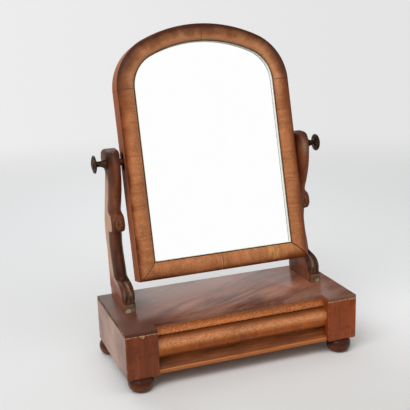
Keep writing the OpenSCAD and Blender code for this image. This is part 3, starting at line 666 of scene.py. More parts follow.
def make_block_finishes():
    """The end panels, pale and cloudy from faded wood and painted sheen, and the corner blocks with a broken
    pale line at their top.
    """
    c = colours()
    low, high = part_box("left_corner_block")
    front, top = low.y, high.z

    def flank(place, base):
        _, y, z = split(place)
        # Pale clouds, part faded wood and part painted sheen, paler towards the front
        light = patches(place, 11, 0.35, 0.62, 3, 0.55, 0.5) * (0.62 - ramp(y, -0.02, 0.09) * 0.35)
        path = cloud(mapped(place, stretch=(0, 0, 1)), 40) * CRACK_SWAY + CRACK_Y
        crack = level_band(y, path, 0.0002, 0.0007) * ramp(z, 0.058, 0.078)
        return layered(base, (light, c.side_fade_and_sheen), (crack * 0.55, CRACK_DARK))

    def chipped_top(place, base):
        x, y, z = split(place)
        line = level_band(z, top - 0.0007, 0.0005, 0.0007) * patches(place, 230, 0.42, 0.52)
        inside = (z - (top - 0.0075)) - calc("ABSOLUTE", x - FLECK_X) * 1.1
        fleck = ramp(inside, 0.0, 0.0016) * patches(place, 420, 0.40, 0.56)
        worn = most(line, fleck) * ramp(y, front + 0.0006, front + 0.0018, 1.0, 0.0)
        blotch = patches(place, 38, 0.48, 0.68, 4, 0.65, 0.6)
        return layered(base, (blotch * 0.55, c.block_dark), (worn * 0.9, c.bare))

    for side, way in SIDES.items():
        polished_wood("End panel, " + side, c.side_dark, c.side_light, (90, 0, 0), (0.1, 0.7, 0.3 + way),
                      smooth=0.30, extra=flank)
    for side, dark, light, shift, worn in (
            ("left", c.block_dark, c.block_light, (0.1, 0.7, 0.3), 0.0013),
            ("right", c.right_block_dark, c.right_block_light, (2.1, 0.7, 0.3), 0.0006)):
        polished_wood("Corner block, " + side, dark, light, (0, 0, 0), shift, 460,
                      wear=(*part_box(side + "_corner_block"), worn), extra=chipped_top)


def make_moulding_finishes():
    """The cove with painted shadow under the board, the half-round with a speckled painted highlight and
    painted shade along its top and underside, and the plinth with dark slope, painted shadow under the
    half-round and a painted highlight along its lip.
    """
    c = colours()
    low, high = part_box("frieze_moulding")
    round_low, round_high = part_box("half_round_moulding")
    plinth_low, plinth_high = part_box("plinth_moulding")

    def lengthwise(place, stretch, *cut):
        return patches(mapped(place, stretch=(stretch, 1, 1)), *cut)

    def cove(place, base):
        z = split(place)[2]
        # Painted shadow: darker under the top board's edge and at the bottom above the half-round; the
        # speckles are worn polish
        dark = most(ramp(z, low.z + 0.004, high.z, 0.0, 0.72), ramp(z, low.z, low.z + 0.004, 0.55, 0.0))
        bright = lengthwise(place, 0.6, 600, 0.42, 0.68) * ramp(z, low.z + 0.003, low.z + 0.016, 0.80, 0.28)
        return layered(base, (dark, c.plinth_dark), (bright, c.moulding_wear_and_highlight))

    def half_round(place, base):
        z = split(place)[2]
        height = round_high.z - round_low.z
        # Painted highlight: a pale speckled stripe along the upper part, where a lamp's reflection falls
        highlight_band = level_band(z, round_low.z + 0.70 * height, 0.0005, 0.25 * height)
        # Painted shade: darker along the top under the cove and along the underside
        underside_shade = ramp(z, round_low.z, round_low.z + 0.30 * height, 0.9, 0.0)
        top_shade = ramp(z, round_high.z - 0.22 * height, round_high.z, 0.0, 0.9)
        return layered(
            base,
            (highlight_band * lengthwise(place, 0.35, 540, 0.24, 0.68) * 0.84, ROUND_PAINTED_HIGHLIGHT),
            (lengthwise(place, 0.3, 32, 0.50, 0.70, 4, 0.65, 0.4) * 0.55, c.moulding_dark),
            (most(underside_shade, top_shade), c.plinth_dark))

    def plinth(place, base):
        z = split(place)[2]
        lip = plinth_low.z + sizes().plinth_edge
        streak = ramp(z, lip + 0.0015, lip + 0.003) * lengthwise(place, 0.10, 150, 0.48, 0.60, 4, 0.65)
        # Painted highlight: a speckled light line along the lip
        lit = level_band(z, lip + 0.0006, 0.0003, PLINTH_EDGE_SOFT)
        bright = lit * lengthwise(place, 0.15, 160, 0.30, 0.50)
        return layered(
            base,
            (streak * 0.50, c.plinth_dark),
            # Painted shadow under the half-round, at the top of the slope
            (ramp(z, plinth_high.z - 0.004, plinth_high.z, 0.0, 0.7), PLINTH_PAINTED_SHADOW),
            ((1.0 - ramp(z, lip - PLINTH_EDGE_SOFT, lip + 0.0012)) * 0.75, PLINTH_FACE),
            (bright * 0.6, c.moulding_wear_and_highlight))

    polished_wood("Frieze moulding", c.moulding_dark, c.moulding_light, (0, 90, 0), dull=0.48, specular=0.16,
                  extra=cove)
    polished_wood("Half round moulding", c.moulding_dark, c.moulding_light, fibres=520, figure=12,
                  smooth=0.22, dull=0.38, coat=0.18, specular=0.18, extra=half_round)
    polished_wood("Plinth moulding", c.plinth_dark, c.plinth_light, (0, 90, 0), smooth=0.30, coat=0.05,
                  specular=0.14, extra=plinth)


def make_carved():
    """The uprights' wood: dark rounded front, a pale outer strip of painted sheen, light ridges partly rubbed
    and partly painted highlight, hollows darkened by painted shade.
    """
    c = colours()
    shader, place = material("Carved mahogany", c.carved_light)
    z = split(place)[2]
    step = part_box("right_upright")[0].z
    grain = wood_grain(place, c.carved_dark, c.carved_light, 420.0, 26.0, 1.15, 0.5)
    polish = old_polish(place, 24.0, 0.30, 0.55)
    # Painted sheen on the outer side: reddish at the foot, pale above
    pale = layered(c.foot_side, (ramp(z, step + 0.030, step + 0.062), c.outer_painted_sheen),
                   (grain["Tone"] * 0.35, c.foot_side))
    base = layered(
        shaded(grain["Color"], held(place, "tone")),
        (held(place, "outer") * 0.92, pale),
        # Painted shade in the carved hollows
        (held(place, "hollow") * 0.80, HOLLOW_PAINTED_SHADE),
        # Light ridges: partly rubbed wear, partly painted highlight
        (held(place, "rubbed") * patches(place, 170, 0.20, 0.60, 4), c.rubbed),
        (ramp(held(place, "chips") * cloud(place, 190, 3, 0.6), 0.34, 0.46), c.chipped))
    coat_with(shader, base, polish["Roughness"], grain["Height"], 0.12, Coat_Weight=0.05, Coat_Roughness=0.2,
              Specular_IOR_Level=0.14)


def make_turned():
    """The turned feet and spacers, the feet's shoulders darkened by painted shadow under the corner blocks.
    """
    c = colours()

    def shoulder(place, base):
        z = split(place)[2]
        # Painted shadow: the feet darken towards their tops, under the blocks
        dark = ramp(z, 0.010, 0.021, 0.0, 0.85) * ramp(z, 0.03, 0.05, 1.0, 0.0)
        return mixed(dark, base, c.turned_dark)

    polished_wood("Turned mahogany", c.turned_dark, c.turned_light, (0, 90, 0), smooth=0.18, dull=0.42,
                  coat=0.22, specular=0.1, extra=shoulder)


def make_blackened():
    """Near-black turned wood, brown where hands have rubbed it."""
    shader, place = material("Blackened wood", colours().black)
    polish = old_polish(place, 60.0, 0.30, 0.55)
    rubbed = patches(place, 170, 0.45, 0.66, 4, 0.7, 0.4)
    coat_with(shader, mixed(rubbed, colours().black, HANDLED), polish["Roughness"], rubbed, 0.10,
              Coat_Weight=0.04, Coat_Roughness=0.25, Specular_IOR_Level=0.11)


def make_metal(name, tint, tarnish, smooth, dull):
    """Old metal, tarnished in patches."""
    shader, place = material(name, tint)
    polish = old_polish(place, 90.0, smooth, dull)
    spots = patches(place, 420, 0.45, 0.70, 4, 0.65)
    coat_with(shader, mixed(spots, tint, tarnish), polish["Roughness"], spots, 0.03, Metallic=1.0)


def make_silvered():
    """Mirror glass: bright silver with a faint old haze."""
    shader, place = material("Silvered glass", colours().silver)
    haze = cloud(place, 30, 3, 0.6)
    base = mixed(ramp(haze, 0.3, 0.8, 0.0, 0.25), colours().silver, SILVER_HAZE)
    coat_with(shader, base, ramp(haze, 0.3, 0.8, 0.015, 0.035), Metallic=1.0)


# Mesh helpers


def placed(name, data):
    """A new object in the scene."""
    made = bpy.data.objects.new(name, data)
    bpy.context.scene.collection.objects.link(made)
    return made


def creased(mesh, degrees):
    """Marks a mesh's edges sharp where they turn further than an angle."""
    mesh.set_sharp_from_angle(angle=math.radians(degrees))


def piece(name, points, faces, body, finishes, face_finish=None, uv=None, held_values=None,
          crease=35.0):
    """A mesh that stands for its CAD node, with smooth faces and sharp creases, and rides on a body."""
    mesh = bpy.data.meshes.new(name)
    mesh.from_pydata([tuple(p) for p in points], [], [tuple(f) for f in faces])
    if uv is not None:
        flat = [c for face in uv for corner in face for c in corner]
        mesh.uv_layers.new(name="Grain").data.foreach_set("uv", flat)
    for made_of in finishes:
        mesh.materials.append(finish(made_of))
    if face_finish is not None:
        mesh.polygons.foreach_set("material_index", face_finish)
    for label, values in (held_values or {}).items():
        mesh.attributes.new(label, "FLOAT", "POINT").data.foreach_set("value", values)
    shape = bmesh.new()
    shape.from_mesh(mesh)
    bmesh.ops.recalc_face_normals(shape, faces=shape.faces)
    shape.to_mesh(mesh)
    shape.free()
    made = placed(name, mesh)
    mesh.shade_smooth()
    creased(mesh, crease)
    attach(made, body)
    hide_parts(name)
    return made


def dress(name, *nodes):
    """Gives CAD nodes a finish and smooth shading."""
    for node in nodes:
        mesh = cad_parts[node].data
        mesh.materials.clear()
        mesh.materials.append(finish(name))
        mesh.polygons.foreach_set("material_index", [0] * len(mesh.polygons))
        mesh.shade_smooth()
        creased(mesh, 35)


def band_faces(rows, count):
    """The faces between rows of points that run round."""
    return [(row + k, row + (k + 1) % count, row + count + (k + 1) % count, row + count + k)
            for row in range(0, (rows - 1) * count, count) for k in range(count)]


def loft(rings, mirrored=False):
    """Points and faces of a closed section carried through rings, capped at both ends."""
    count = len(rings[0])
    points = [(-x if mirrored else x, y, z) for ring in rings for x, y, z in ring]
    caps = [tuple(range(base, base + count)) for base in (0, (len(rings) - 1) * count)]
    return points, band_faces(len(rings), count) + caps


def running_length(outline):
    """Distance run along a closed outline at each of its points, and all the way round."""
    run = [0.0]
    for a, b in zip(outline, outline[1:] + outline[:1]):
        run.append(run[-1] + math.dist(a, b))
    return run


def inward(ring, k):
    """The direction into a closed slice at one of its points."""
    a, b = ring[k - 1], ring[(k + 1) % len(ring)]
    tangent = Vector((b[0] - a[0], b[1] - a[1]))
    if tangent.length < 1e-6:
        return Vector((0, 0))
    return Vector((-tangent.y, tangent.x)).normalized()


def hump(value, middle, width):
    """A smooth bump of height 1."""
    away = abs(value - middle) / width
    return (1 - away * away) ** 2 if away < 1 else 0.0


def part_way(value, start, span):
    """How far a value has come from a start over a span, from 0 to 1."""
    return min(max((value - start) / span, 0), 1)


def uneven_edge(place, edge):
    """The rounding of a worn edge at a place: never even, sometimes almost sharp."""
    spot = Vector(place) * 60
    return edge * (0.75 + 0.55 * noise.noise(spot) + 0.35 * noise.noise(spot * 3.1))


def rounded_plan(corners, radius, steps=4):
    """A plan whose corners are rounded, with a point every 3 mm."""
    plan = []
    for i, corner in enumerate(corners):
        here, after_it = Vector(corner), Vector(corners[(i + 1) % len(corners)])
        back = (Vector(corners[i - 1]) - here).normalized()
        ahead = (after_it - here).normalized()
        for k in range(steps + 1):
            t = k / steps
            plan.append(here + back * radius * (1 - t) ** 2 + ahead * radius * t * t)
        start, end = here + ahead * radius, after_it - ahead * radius
        parts = max(1, round((end - start).length / (3 * MM)))
        plan += [start.lerp(end, j / parts) for j in range(1, parts)]
    return [(p.x, p.y) for p in plan]


def worn_board(plan, low_z, high_z, edge):
    """Points and faces of a flat board with an unevenly worn upper edge, from its plan, anticlockwise."""
    count = len(plan)
    ways = [inward(plan, k) for k in range(count)]
    points = [(x, y, low_z) for x, y in plan]
    for turn in (0, 30, 60, 90):
        a = math.radians(turn)
        for (x, y), way in zip(plan, ways):
            reach = uneven_edge((x, y, high_z), edge)
            inset = reach * (1 - math.cos(a))
            points.append((x + way.x * inset, y + way.y * inset, high_z - reach * (1 - math.sin(a))))
    caps = [tuple(range(count)), tuple(range(4 * count, 5 * count))]
    return points, band_faces(5, count) + caps


def worn_box(low, high, rounding, cell=4 * MM):
    """Points, faces and each face's side of a box, its edges rounded by what rounding gives at a place."""
    near = [0.0, 0.0006, 0.0013, 0.0022, 0.0034]
    marks = []
    for a, b in zip(low, high):
        span = b - a - 2 * near[-1]
        parts = max(1, round(span / cell))
        middle = [a + near[-1] + span * i / parts for i in range(1, parts)]
        marks.append([a + n for n in near] + middle + [b - n for n in reversed(near)])
    index, points, faces, sides = {}, [], [], []

    def spot(key):
        if key not in index:
            index[key] = len(points)
            at = [marks[i][key[i]] for i in range(3)]
            reach = rounding(at)
            core = [min(max(at[i], low[i] + reach[i]), high[i] - reach[i]) for i in range(3)]
            away = Vector([(at[i] - core[i]) / reach[i] for i in range(3)]).normalized()
            points.append([core[i] + away[i] * reach[i] for i in range(3)])
        return index[key]

    for axis in range(3):
        u, v = [i for i in range(3) if i != axis]
        for end in (0, len(marks[axis]) - 1):
            for i in range(len(marks[u]) - 1):
                for j in range(len(marks[v]) - 1):
                    corners = []
                    for du, dv in ((0, 0), (1, 0), (1, 1), (0, 1)):
                        key = [0, 0, 0]
                        key[axis], key[u], key[v] = end, i + du, j + dv
                        corners.append(spot(tuple(key)))
                    faces.append(tuple(corners))
                    sides.append((axis, 1 if end else -1))
    return points, faces, sides


def bored(made, centre, turn, radius, reach):
    """Cuts a round hole through a piece, centred on a point, along Z as turned."""
    bit = bmesh.new()
    bmesh.ops.create_cone(bit, cap_ends=True, segments=32, radius1=radius, radius2=radius, depth=reach)
    bit.transform(Matrix.Translation(centre) @ turn)
    mesh = bpy.data.meshes.new("bit")
    bit.to_mesh(mesh)
    bit.free()
    cutter = placed("bit", mesh)
    cut = made.modifiers.new("Bore", "BOOLEAN")
    cut.operation, cut.solver, cut.object = "DIFFERENCE", "EXACT", cutter
    bpy.context.view_layer.update()
    shaped = bpy.data.meshes.new_from_object(made.evaluated_get(bpy.context.evaluated_depsgraph_get()))
    made.modifiers.remove(cut)
    made.data = shaped
    bpy.data.objects.remove(cutter)
    creased(made.data, 35)


# Frame


def pivot_point():
    """The middle of the mirror screws' axis."""
    low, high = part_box("left_spacer")
    return Vector((0, (low.y + high.y) / 2, (low.z + high.z) / 2))


PIVOT = pivot_point()


def on_frame(x, v, n):
    """A point given across, up and forwards on the tilted frame, in the model's frame."""
    cosine, sine = math.cos(sizes().tilt), math.sin(sizes().tilt)
    return x, PIVOT.y - n * cosine + v * sine, PIVOT.z + n * sine + v * cosine


def frame_section():
    """The frame's closed section as (inwards, forwards), with the finish of each stretch."""
    s = sizes()
    span = s.moulding_w - s.lip_w
    radius = (span * span / 4 + s.crown * s.crown) / (2 * s.crown)
    reach = math.asin(span / 2 / radius)
    section = [(0.0, -s.side_back, SIDE)]
    section += [(0.0, -s.side_back + part * (s.side_back + s.side_fwd), SIDE) for part in (0.25, 0.5, 0.75)]
    section.append((0.0, s.side_fwd - 0.5 * MM, SIDE))
    for i in range(CROWN_STEPS + 1):
        a = -reach + 2 * reach * i / CROWN_STEPS
        u = span / 2 + radius * math.sin(a)
        n = s.side_fwd + s.crown - radius + radius * math.cos(a)
        if u < span - 1.0 * MM:
            section.append((max(u, 0.0 if i else 0.15 * MM), n, FACE))
    lip_top = s.side_fwd + s.lip_up
    glass_front = s.side_fwd - s.glass_set
    board_front = -s.side_back + s.backboard_t
    rebate = s.moulding_w - s.glass_lap
    section += [
        (span - 0.7 * MM, s.side_fwd + 0.7 * MM, LIP), (span - 0.3 * MM, s.side_fwd + 0.5 * MM, LIP),
        (span, lip_top - 0.3 * MM, LIP), (span + 0.35 * MM, lip_top, LIP),
        (s.moulding_w - 0.3 * MM, lip_top, LIP), (s.moulding_w, lip_top - 0.4 * MM, LIP),
        (s.moulding_w, glass_front, BACK), (rebate, glass_front, BACK), (rebate, board_front, BACK),
        (s.back_margin, board_front, BACK), (s.back_margin, -s.side_back, BACK)]
    return [(u, n) for u, n, kind in section], [kind for u, n, kind in section]


def half_frame():
    """Half the frame's width."""
    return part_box("bottom_rail")[1].x


def stations(count, *near):
    """Shares of a length from 0 to 1, evenly spaced, with some more near both ends."""
    return [0, *near] + [i / count for i in range(1, count)] + [1 - n for n in reversed(near)] + [1]


def frame_member(name, rows):
    """A frame member from rows of spots: across, up, forwards, run of the veneer and distance to a joint."""
    _, kinds = frame_section()
    girth = running_length(frame_section()[0])
    count, last = len(kinds), len(rows) - 1
    points, faces = loft([[on_frame(*spot[:3]) for spot in row] for row in rows], name.startswith("left"))
    uv = []
    for i in range(last):
        for k in range(count):
            n = (k + 1) % count
            uv.append(((rows[i][k][3], girth[k]), (rows[i][n][3], girth[k + 1]),
                       (rows[i + 1][n][3], girth[k + 1]), (rows[i + 1][k][3], girth[k])))
    uv += [tuple((rows[i][k][3], girth[k]) for k in range(count)) for i in (0, last)]
    piece(name, points, faces, "mirror", FRAME_FINISHES,
          kinds * last + [kinds[0]] * 2, uv, {"joint": [spot[4] for row in rows for spot in row]}, 30)


def make_stile(side):
    """A straight side of the frame, mitred below and butted at the springing."""
    s = sizes()
    half = half_frame()
    outline, _ = frame_section()
    rows = []
    for t in stations(40, 0.004, 0.02):
        row = []
        for u, n in outline:
            start = u - s.frame_down
            v = start + (s.spring_up - start) * t
            row.append((half - u, v, n, v + STILE_STARTS[side], min((v - start) * MITRE, s.spring_up - v)))
        rows.append(row)
    frame_member(side + "_stile", rows)


def make_rail():
    """The bottom member, mitred at both ends."""
    half = half_frame()
    outline, _ = frame_section()
    rows = []
    for t in stations(48, 0.003, 0.015):
        row = []
        for u, n in outline:
            x = (u - half) + (2 * (half - u)) * t
            gap = min((x + half - u) * MITRE, (half - u - x) * FAR_MITRE)
            row.append((x, u - sizes().frame_down, n, x + RAIL_START, gap))
        rows.append(row)
    frame_member("bottom_rail", rows)


def make_arch(side):
    """Half of the arch: shoulder and crown arcs with a common tangent."""
    s = sizes()
    outline, _ = frame_section()
    arm = half_frame() - s.shoulder_r
    rise = s.frame_up - s.shoulder_r
    crown_v = (rise * rise - arm * arm - s.spring_up * s.spring_up) / (2 * (rise - s.spring_up))
    crown_r = s.frame_up - crown_v
    meet = math.atan2(s.spring_up - crown_v, arm)
    middle = s.moulding_w / 2
    shoulder_run = (s.shoulder_r - middle) * meet
    crown_run = (crown_r - middle) * (math.pi / 2 - meet)
    rows = []
    for i in range(SHOULDER_STEPS + PEAK_STEPS + 1):
        on_crown = i > SHOULDER_STEPS
        t = (i - SHOULDER_STEPS) / PEAK_STEPS if on_crown else i / SHOULDER_STEPS
        a = meet + (math.pi / 2 - meet) * t if on_crown else meet * t
        run = shoulder_run + crown_run * t if on_crown else shoulder_run * t
        radius, cx, cv = (crown_r, 0.0, crown_v) if on_crown else (s.shoulder_r, arm, s.spring_up)
        gap = min(run, shoulder_run + crown_run - run)
        start, cosine, sine = run + ARCH_STARTS[side], math.cos(a), math.sin(a)
        rows.append([(cx + (radius - u) * cosine, cv + (radius - u) * sine, n, start, gap)
                     for u, n in outline])
    frame_member(side + "_arch", rows)


# Uprights


def upright_stations():
    """The upright's side view: height above the board, front, back, half thickness and nose depth, in mm."""
    low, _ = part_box("right_upright")
    pivot_y, pivot_rise = PIVOT.y / MM, (PIVOT.z - low.z) / MM
    half = HALF_THICK
    toe = low.y / MM + 0.5
    heel = toe + 98
    head = pivot_y - 29.5
    curl = pivot_y + 41
    top = pivot_rise + 25
    bow_back = heel + 12
    bow_front = bow_back - 50
    knee = bow_front - 12
    nose = sizes().nose / MM
    return [
        (0, toe, heel - 2, half - 1.6, 1.5), (15, toe - 0.5, heel, half - 1.6, 2),
        (17.5, toe + 3, heel, half - 1.6, 4), (22, toe + 3, heel, half - 0.6, 7),
        (30, toe + 2, heel - 2, half, 9), (37, toe + 5, heel - 2, half, 10),
        (43, toe + 11, heel - 2, half, 11), (47, toe + 20, heel - 1, half, 13),
        (50, toe + 32, heel - 1, half, 18), (54, toe + 40, heel, half, 24),
        (65, bow_front - 17, heel + 1, half, nose),
        (85, bow_front - 9, heel + 3, half, nose), (101, bow_front - 3, heel + 5, half, nose),
        (119, bow_front, bow_back - 1, half, nose), (138, bow_front - 1, bow_back, half, nose),
        (140, knee + 7, bow_back, half, 14), (144, knee + 1, bow_back, half, 8),
        (153, knee - 1, bow_back - 1, half + 0.3, 6), (162, knee, bow_back - 3, half + 0.3, 7),
        (170, knee + 3, bow_back - 4, half, 9), (174, knee + 8, bow_back - 5, half, 18),
        (179, knee + 8, bow_back - 7, half, nose), (200, head + 10, head + 58, half, nose),
        (pivot_rise - 36, head + 1, head + 47, half, nose), (pivot_rise - 19, head, head + 42, half, nose),
        (pivot_rise - 8, head, curl - 14, half, nose), (pivot_rise + 3, head + 2, curl, half, nose),
        (top - 12, head + 6, curl - 2, half, nose - 4), (top - 5, head + 13, curl - 10, half - 0.8, 16),
        (top - 1.2, head + 24, curl - 20, half - 3, 8), (top, head + 34, curl - 28, half - 6, 4)]


def eased_levels(rows, step):
    """Rows filled in between by a smooth curve that never overshoots."""
    rows = np.array(rows, float)
    gaps = np.diff(rows[:, 0])
    rates = np.diff(rows, axis=0) / gaps[:, None]
    slopes = np.zeros_like(rows)
    a, b = rates[:-1], rates[1:]
    same = a * b > 0
    slopes[1:-1][same] = 2 * a[same] * b[same] / (a[same] + b[same])
    levels = []
    for i, gap in enumerate(gaps):
        count = max(1, round(gap / step))
        for t in (k / count for k in range(count)):
            bend = slopes[i] * t * (1 - t) ** 2 - slopes[i + 1] * t * t * (1 - t)
            level = rows[i] + (rows[i + 1] - rows[i]) * t * t * (3 - 2 * t) + gap * bend
            level[0] = rows[i][0] + gap * t
            levels.append(level)
    return levels + [rows[-1]]


def upright_slice(front, back, half, deep):
    """One level slice as (x, y): straight back with round corners, flat sides, elliptical nose."""
    rx, rb = min(deep, half - 0.4), min(2.2, half - 0.4)
    spots = []
    for way, start in ((1, 0), (-1, 90)):
        for k in range(5):
            a = math.radians(start + 90 * k / 4)
            spots.append((way * (half - rb) + rb * math.cos(a), back - rb + rb * math.sin(a)))
    side = [(back - rb) + (front + deep - back + rb) * k / 10 for k in range(1, 10)]
    spots += [(-half, y) for y in side]
    level = half - rx
    bend = math.pi / 2 * math.hypot(rx, deep) / math.sqrt(2)
    for k in range(NOSE_STEPS):
        way = 2 * k / (NOSE_STEPS - 1) - 1
        away = abs(way) * (level + bend)
        a = max(0.0, away - level) / bend * math.pi / 2
        x = math.copysign(min(away, level) + rx * math.sin(a), way)
        spots.append((x, front + deep * (1 - math.cos(a))))
    return spots + [(half, y) for y in reversed(side)]


def carving(share_x, rise, depth):
    """Depth cut away in mm, painted shade in the hollow, and light of the ridge, partly rubbed wear and
    partly painted highlight, at a place on the nose.
    """
    cut, dark, light = 0.0, 0.0, 0.0
    if FLUTES_FROM < rise < FLUTES_TO:
        t = (rise - FLUTES_FROM) / (FLUTES_TO - FLUTES_FROM)
        window = min(1.0, 3.2 * math.sin(math.pi * t))
        fan = share_x / (0.70 + 0.30 * (1 - t)) + 0.12 + 0.20 * t
        wave = 0.5 - 0.5 * math.cos(2 * math.pi * fan / 0.92)
        edge = 1 - hump(abs(share_x), 1.06, 0.22)
        ridge = hump(share_x, -0.10 - 0.50 * (1 - t), 0.34) * min(1.0, 2.2 * t)
        # Ridge, tongue and flank lights: partly rubbed wear, partly painted highlight
        tongue = hump(share_x, 0.04, 0.24) * hump(t, 0.18, 0.34)
        flank = hump(share_x, 0.66, 0.24) * hump(t, 0.45, 0.40)
        cut += depth * wave ** 0.8 * window * edge
        dark += 0.55 * wave ** 1.6 * window
        light += window * edge * (0.95 * ridge + 0.60 * tongue + 0.45 * flank + 0.06)
    # Painted shade at the step above the toe block and at the knuckle
    knuckle = hump(rise, 50.5, 1.8) * (1 - hump(abs(share_x), 1.1, 0.5))
    step = hump(rise, 16.6, 1.1)
    cut += 0.9 * knuckle + 0.7 * step
    dark += 0.7 * knuckle + 0.8 * step
    light += 0.6 * hump(rise, 14.6, 1.2) + 0.75 * (rise < 15)
    for middle, wide, tall in ((163.5, 0.26, 3.4), (157.3, 0.22, 3.0)):
        oval = hump(math.hypot(share_x / wide, (rise - middle) / tall), 0, 1)
        cut += 0.8 * depth * oval
        dark += 0.75 * oval
    from_ovals = math.hypot(share_x / 0.56, (rise - 157) / 12.5)
    ring = hump(from_ovals, 1, 0.26)
    cut += 0.5 * depth * ring
    # Painted shade in the ring round the ovals and under the knee's lobe
    dark += 0.45 * ring + 0.9 * hump(rise, 139.5, 1.6)
    light += 0.45 * hump(from_ovals, 0.72, 0.30)
    # Painted highlight: a light spot on the knee
    light += hump(math.hypot(share_x / 0.26, (rise - 148.5) / 3.6), 0, 1)
    return cut, min(dark, 1.0), min(light, 1.0)


def make_upright(side):
    """A scrolled upright with its carved foot and knee."""
    left = side == "left"
    low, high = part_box("right_upright")
    middle = (low.x + high.x) / 2
    depth = sizes().flute / MM
    pivot_rise = (PIVOT.z - low.z) / MM
    values = {label: [] for label in ("outer", "hollow", "rubbed", "tone", "chips")}
    rings = []
    for rise, front, back, half, deep in eased_levels(upright_stations(), 1.1):
        outline = upright_slice(front, back, half, deep)
        ring = []
        strip = 1.0 - part_way(rise, pivot_rise - 34, 18)
        head = part_way(rise, pivot_rise - 50, 20)
        top = part_way(rise, pivot_rise - 4, 18)
        front_tone = 0.42 + 1.18 * part_way(rise, 70, 120)
        if rise < 50:
            front_tone = 0.95 if rise < 16 else 0.72
        for k, (x, y) in enumerate(outline):
            share_x = x / half
            on_nose = NOSE_FIRST <= k < NOSE_FIRST + NOSE_STEPS
            cut, dark, light = carving(share_x, rise, depth) if on_nose else (0.0, 0.0, 0.0)
            way = inward(outline, k)
            ring.append((middle + (x + way.x * cut) * MM, (y + way.y * cut) * MM, low.z + rise * MM))
            behind = part_way(y, front + min(deep, 26) * 0.80, 1.5)
            fade = 1 - hump(y, front + deep, min(6.0, 0.8 * deep + 0.5)) if on_nose and deep < 16 else 1.0
            # Painted highlight on the right upright's head
            head_painted_highlight = hump(rise, pivot_rise - 2, 22) * hump(share_x, -0.30, 0.42) * (on_nose and not left)
            broken = hump(rise, 3, 10) * (0.74 + 0.5 * hump(share_x, 0.35, 0.6)) + 0.74 * hump(rise, 15, 2)
            side_tone = 1.9 - 1.3 * part_way(rise, 50, 90) if x < 0 else 1.0 + 0.9 * (1 - strip)
            # Painted shade: the outer half of the head is darkened
            head_painted_shade = 1 - 0.40 * (head * part_way(share_x, 0.1, 0.5))
            crest = 1 - (0.58 - 0.40 * behind) * top
            # The outer side behind the nose carries painted sheen, up to below the head
            values["outer"].append(part_way(x, half - 0.9, 0.8) * behind * strip)
            values["hollow"].append(dark * fade)
            values["rubbed"].append(min(1.2, light * fade + 1.2 * head_painted_highlight))
            values["tone"].append((front_tone + (side_tone - front_tone) * behind) * head_painted_shade * crest)
            values["chips"].append(broken * (1.0 if left else 0.86) if on_nose else 0.0)
        rings.append(ring)
    points, faces = loft(rings, left)
    made = piece(side + "_upright", points, faces, "base", ["Carved mahogany"],
                 held_values=values, crease=40)
    bored(made, (SIDES[side] * middle, PIVOT.y, PIVOT.z), Matrix.Rotation(math.pi / 2, 4, "Y"),
          sizes().screw_bore, DRILL_REACH)


# Base


def make_top_board():
    """The thin top board with its worn edge and its notch between the blocks."""
    s = sizes()
    low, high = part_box("top_board")
    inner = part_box("right_corner_block")[0].x
    notch = low.y + s.recess
    corners = [(-inner, low.y), (-inner, notch), (inner, notch), (inner, low.y),
               (high.x, low.y), (high.x, high.y), (low.x, high.y), (low.x, low.y)]
    points, faces = worn_board(rounded_plan(corners, s.plan_round), low.z, high.z, s.worn)
    piece("top_board", points, faces, "base", ["Figured board"], crease=30)


def make_corner_block(side):
    """A corner block with worn corners, bored for its foot's spigot; its outer side matches the end panel."""
    name = side + "_corner_block"
    low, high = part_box(name)
    s = sizes()

    def rounding(at):
        across = s.worn + (s.block_round - s.worn) * hump(at[2], low.z, 0.022)
        deep = SHARP_EDGE if at[1] > high.y - 0.006 else uneven_edge(at, s.worn * 1.2)
        upright = s.block_round if at[2] < (low.z + high.z) / 2 else 0.0004
        return across, max(deep, SHARP_EDGE), upright

    points, faces, sides = worn_box(low, high, rounding)
    face_finish = [1 if face_side == (0, SIDES[side]) else 0 for face_side in sides]
    finishes = ["Corner block, " + side, "End panel, " + side]
    made = piece(name, points, faces, "base", finishes, face_finish, crease=40)
    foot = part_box("front_" + side + "_foot")
    centre = (foot[0] + foot[1]) / 2
    bored(made, (centre.x, centre.y, low.z + s.spigot / 2 - 0.001), Matrix.Identity(4), s.spigot_bore,
          s.spigot + 0.002)


# Stage


def soft_light(name, place, target, width, height, power, tint):
    """A soft rectangular lamp that points at a target."""
    data = bpy.data.lights.new(name, "AREA")
    data.shape, data.size, data.size_y = "RECTANGLE", width, height
    data.energy, data.color = power, tint
    turn = (Vector(target) - Vector(place)).to_track_quat("-Z", "Y")
    placed(name, data).matrix_world = Matrix.Translation(place) @ turn.to_matrix().to_4x4()


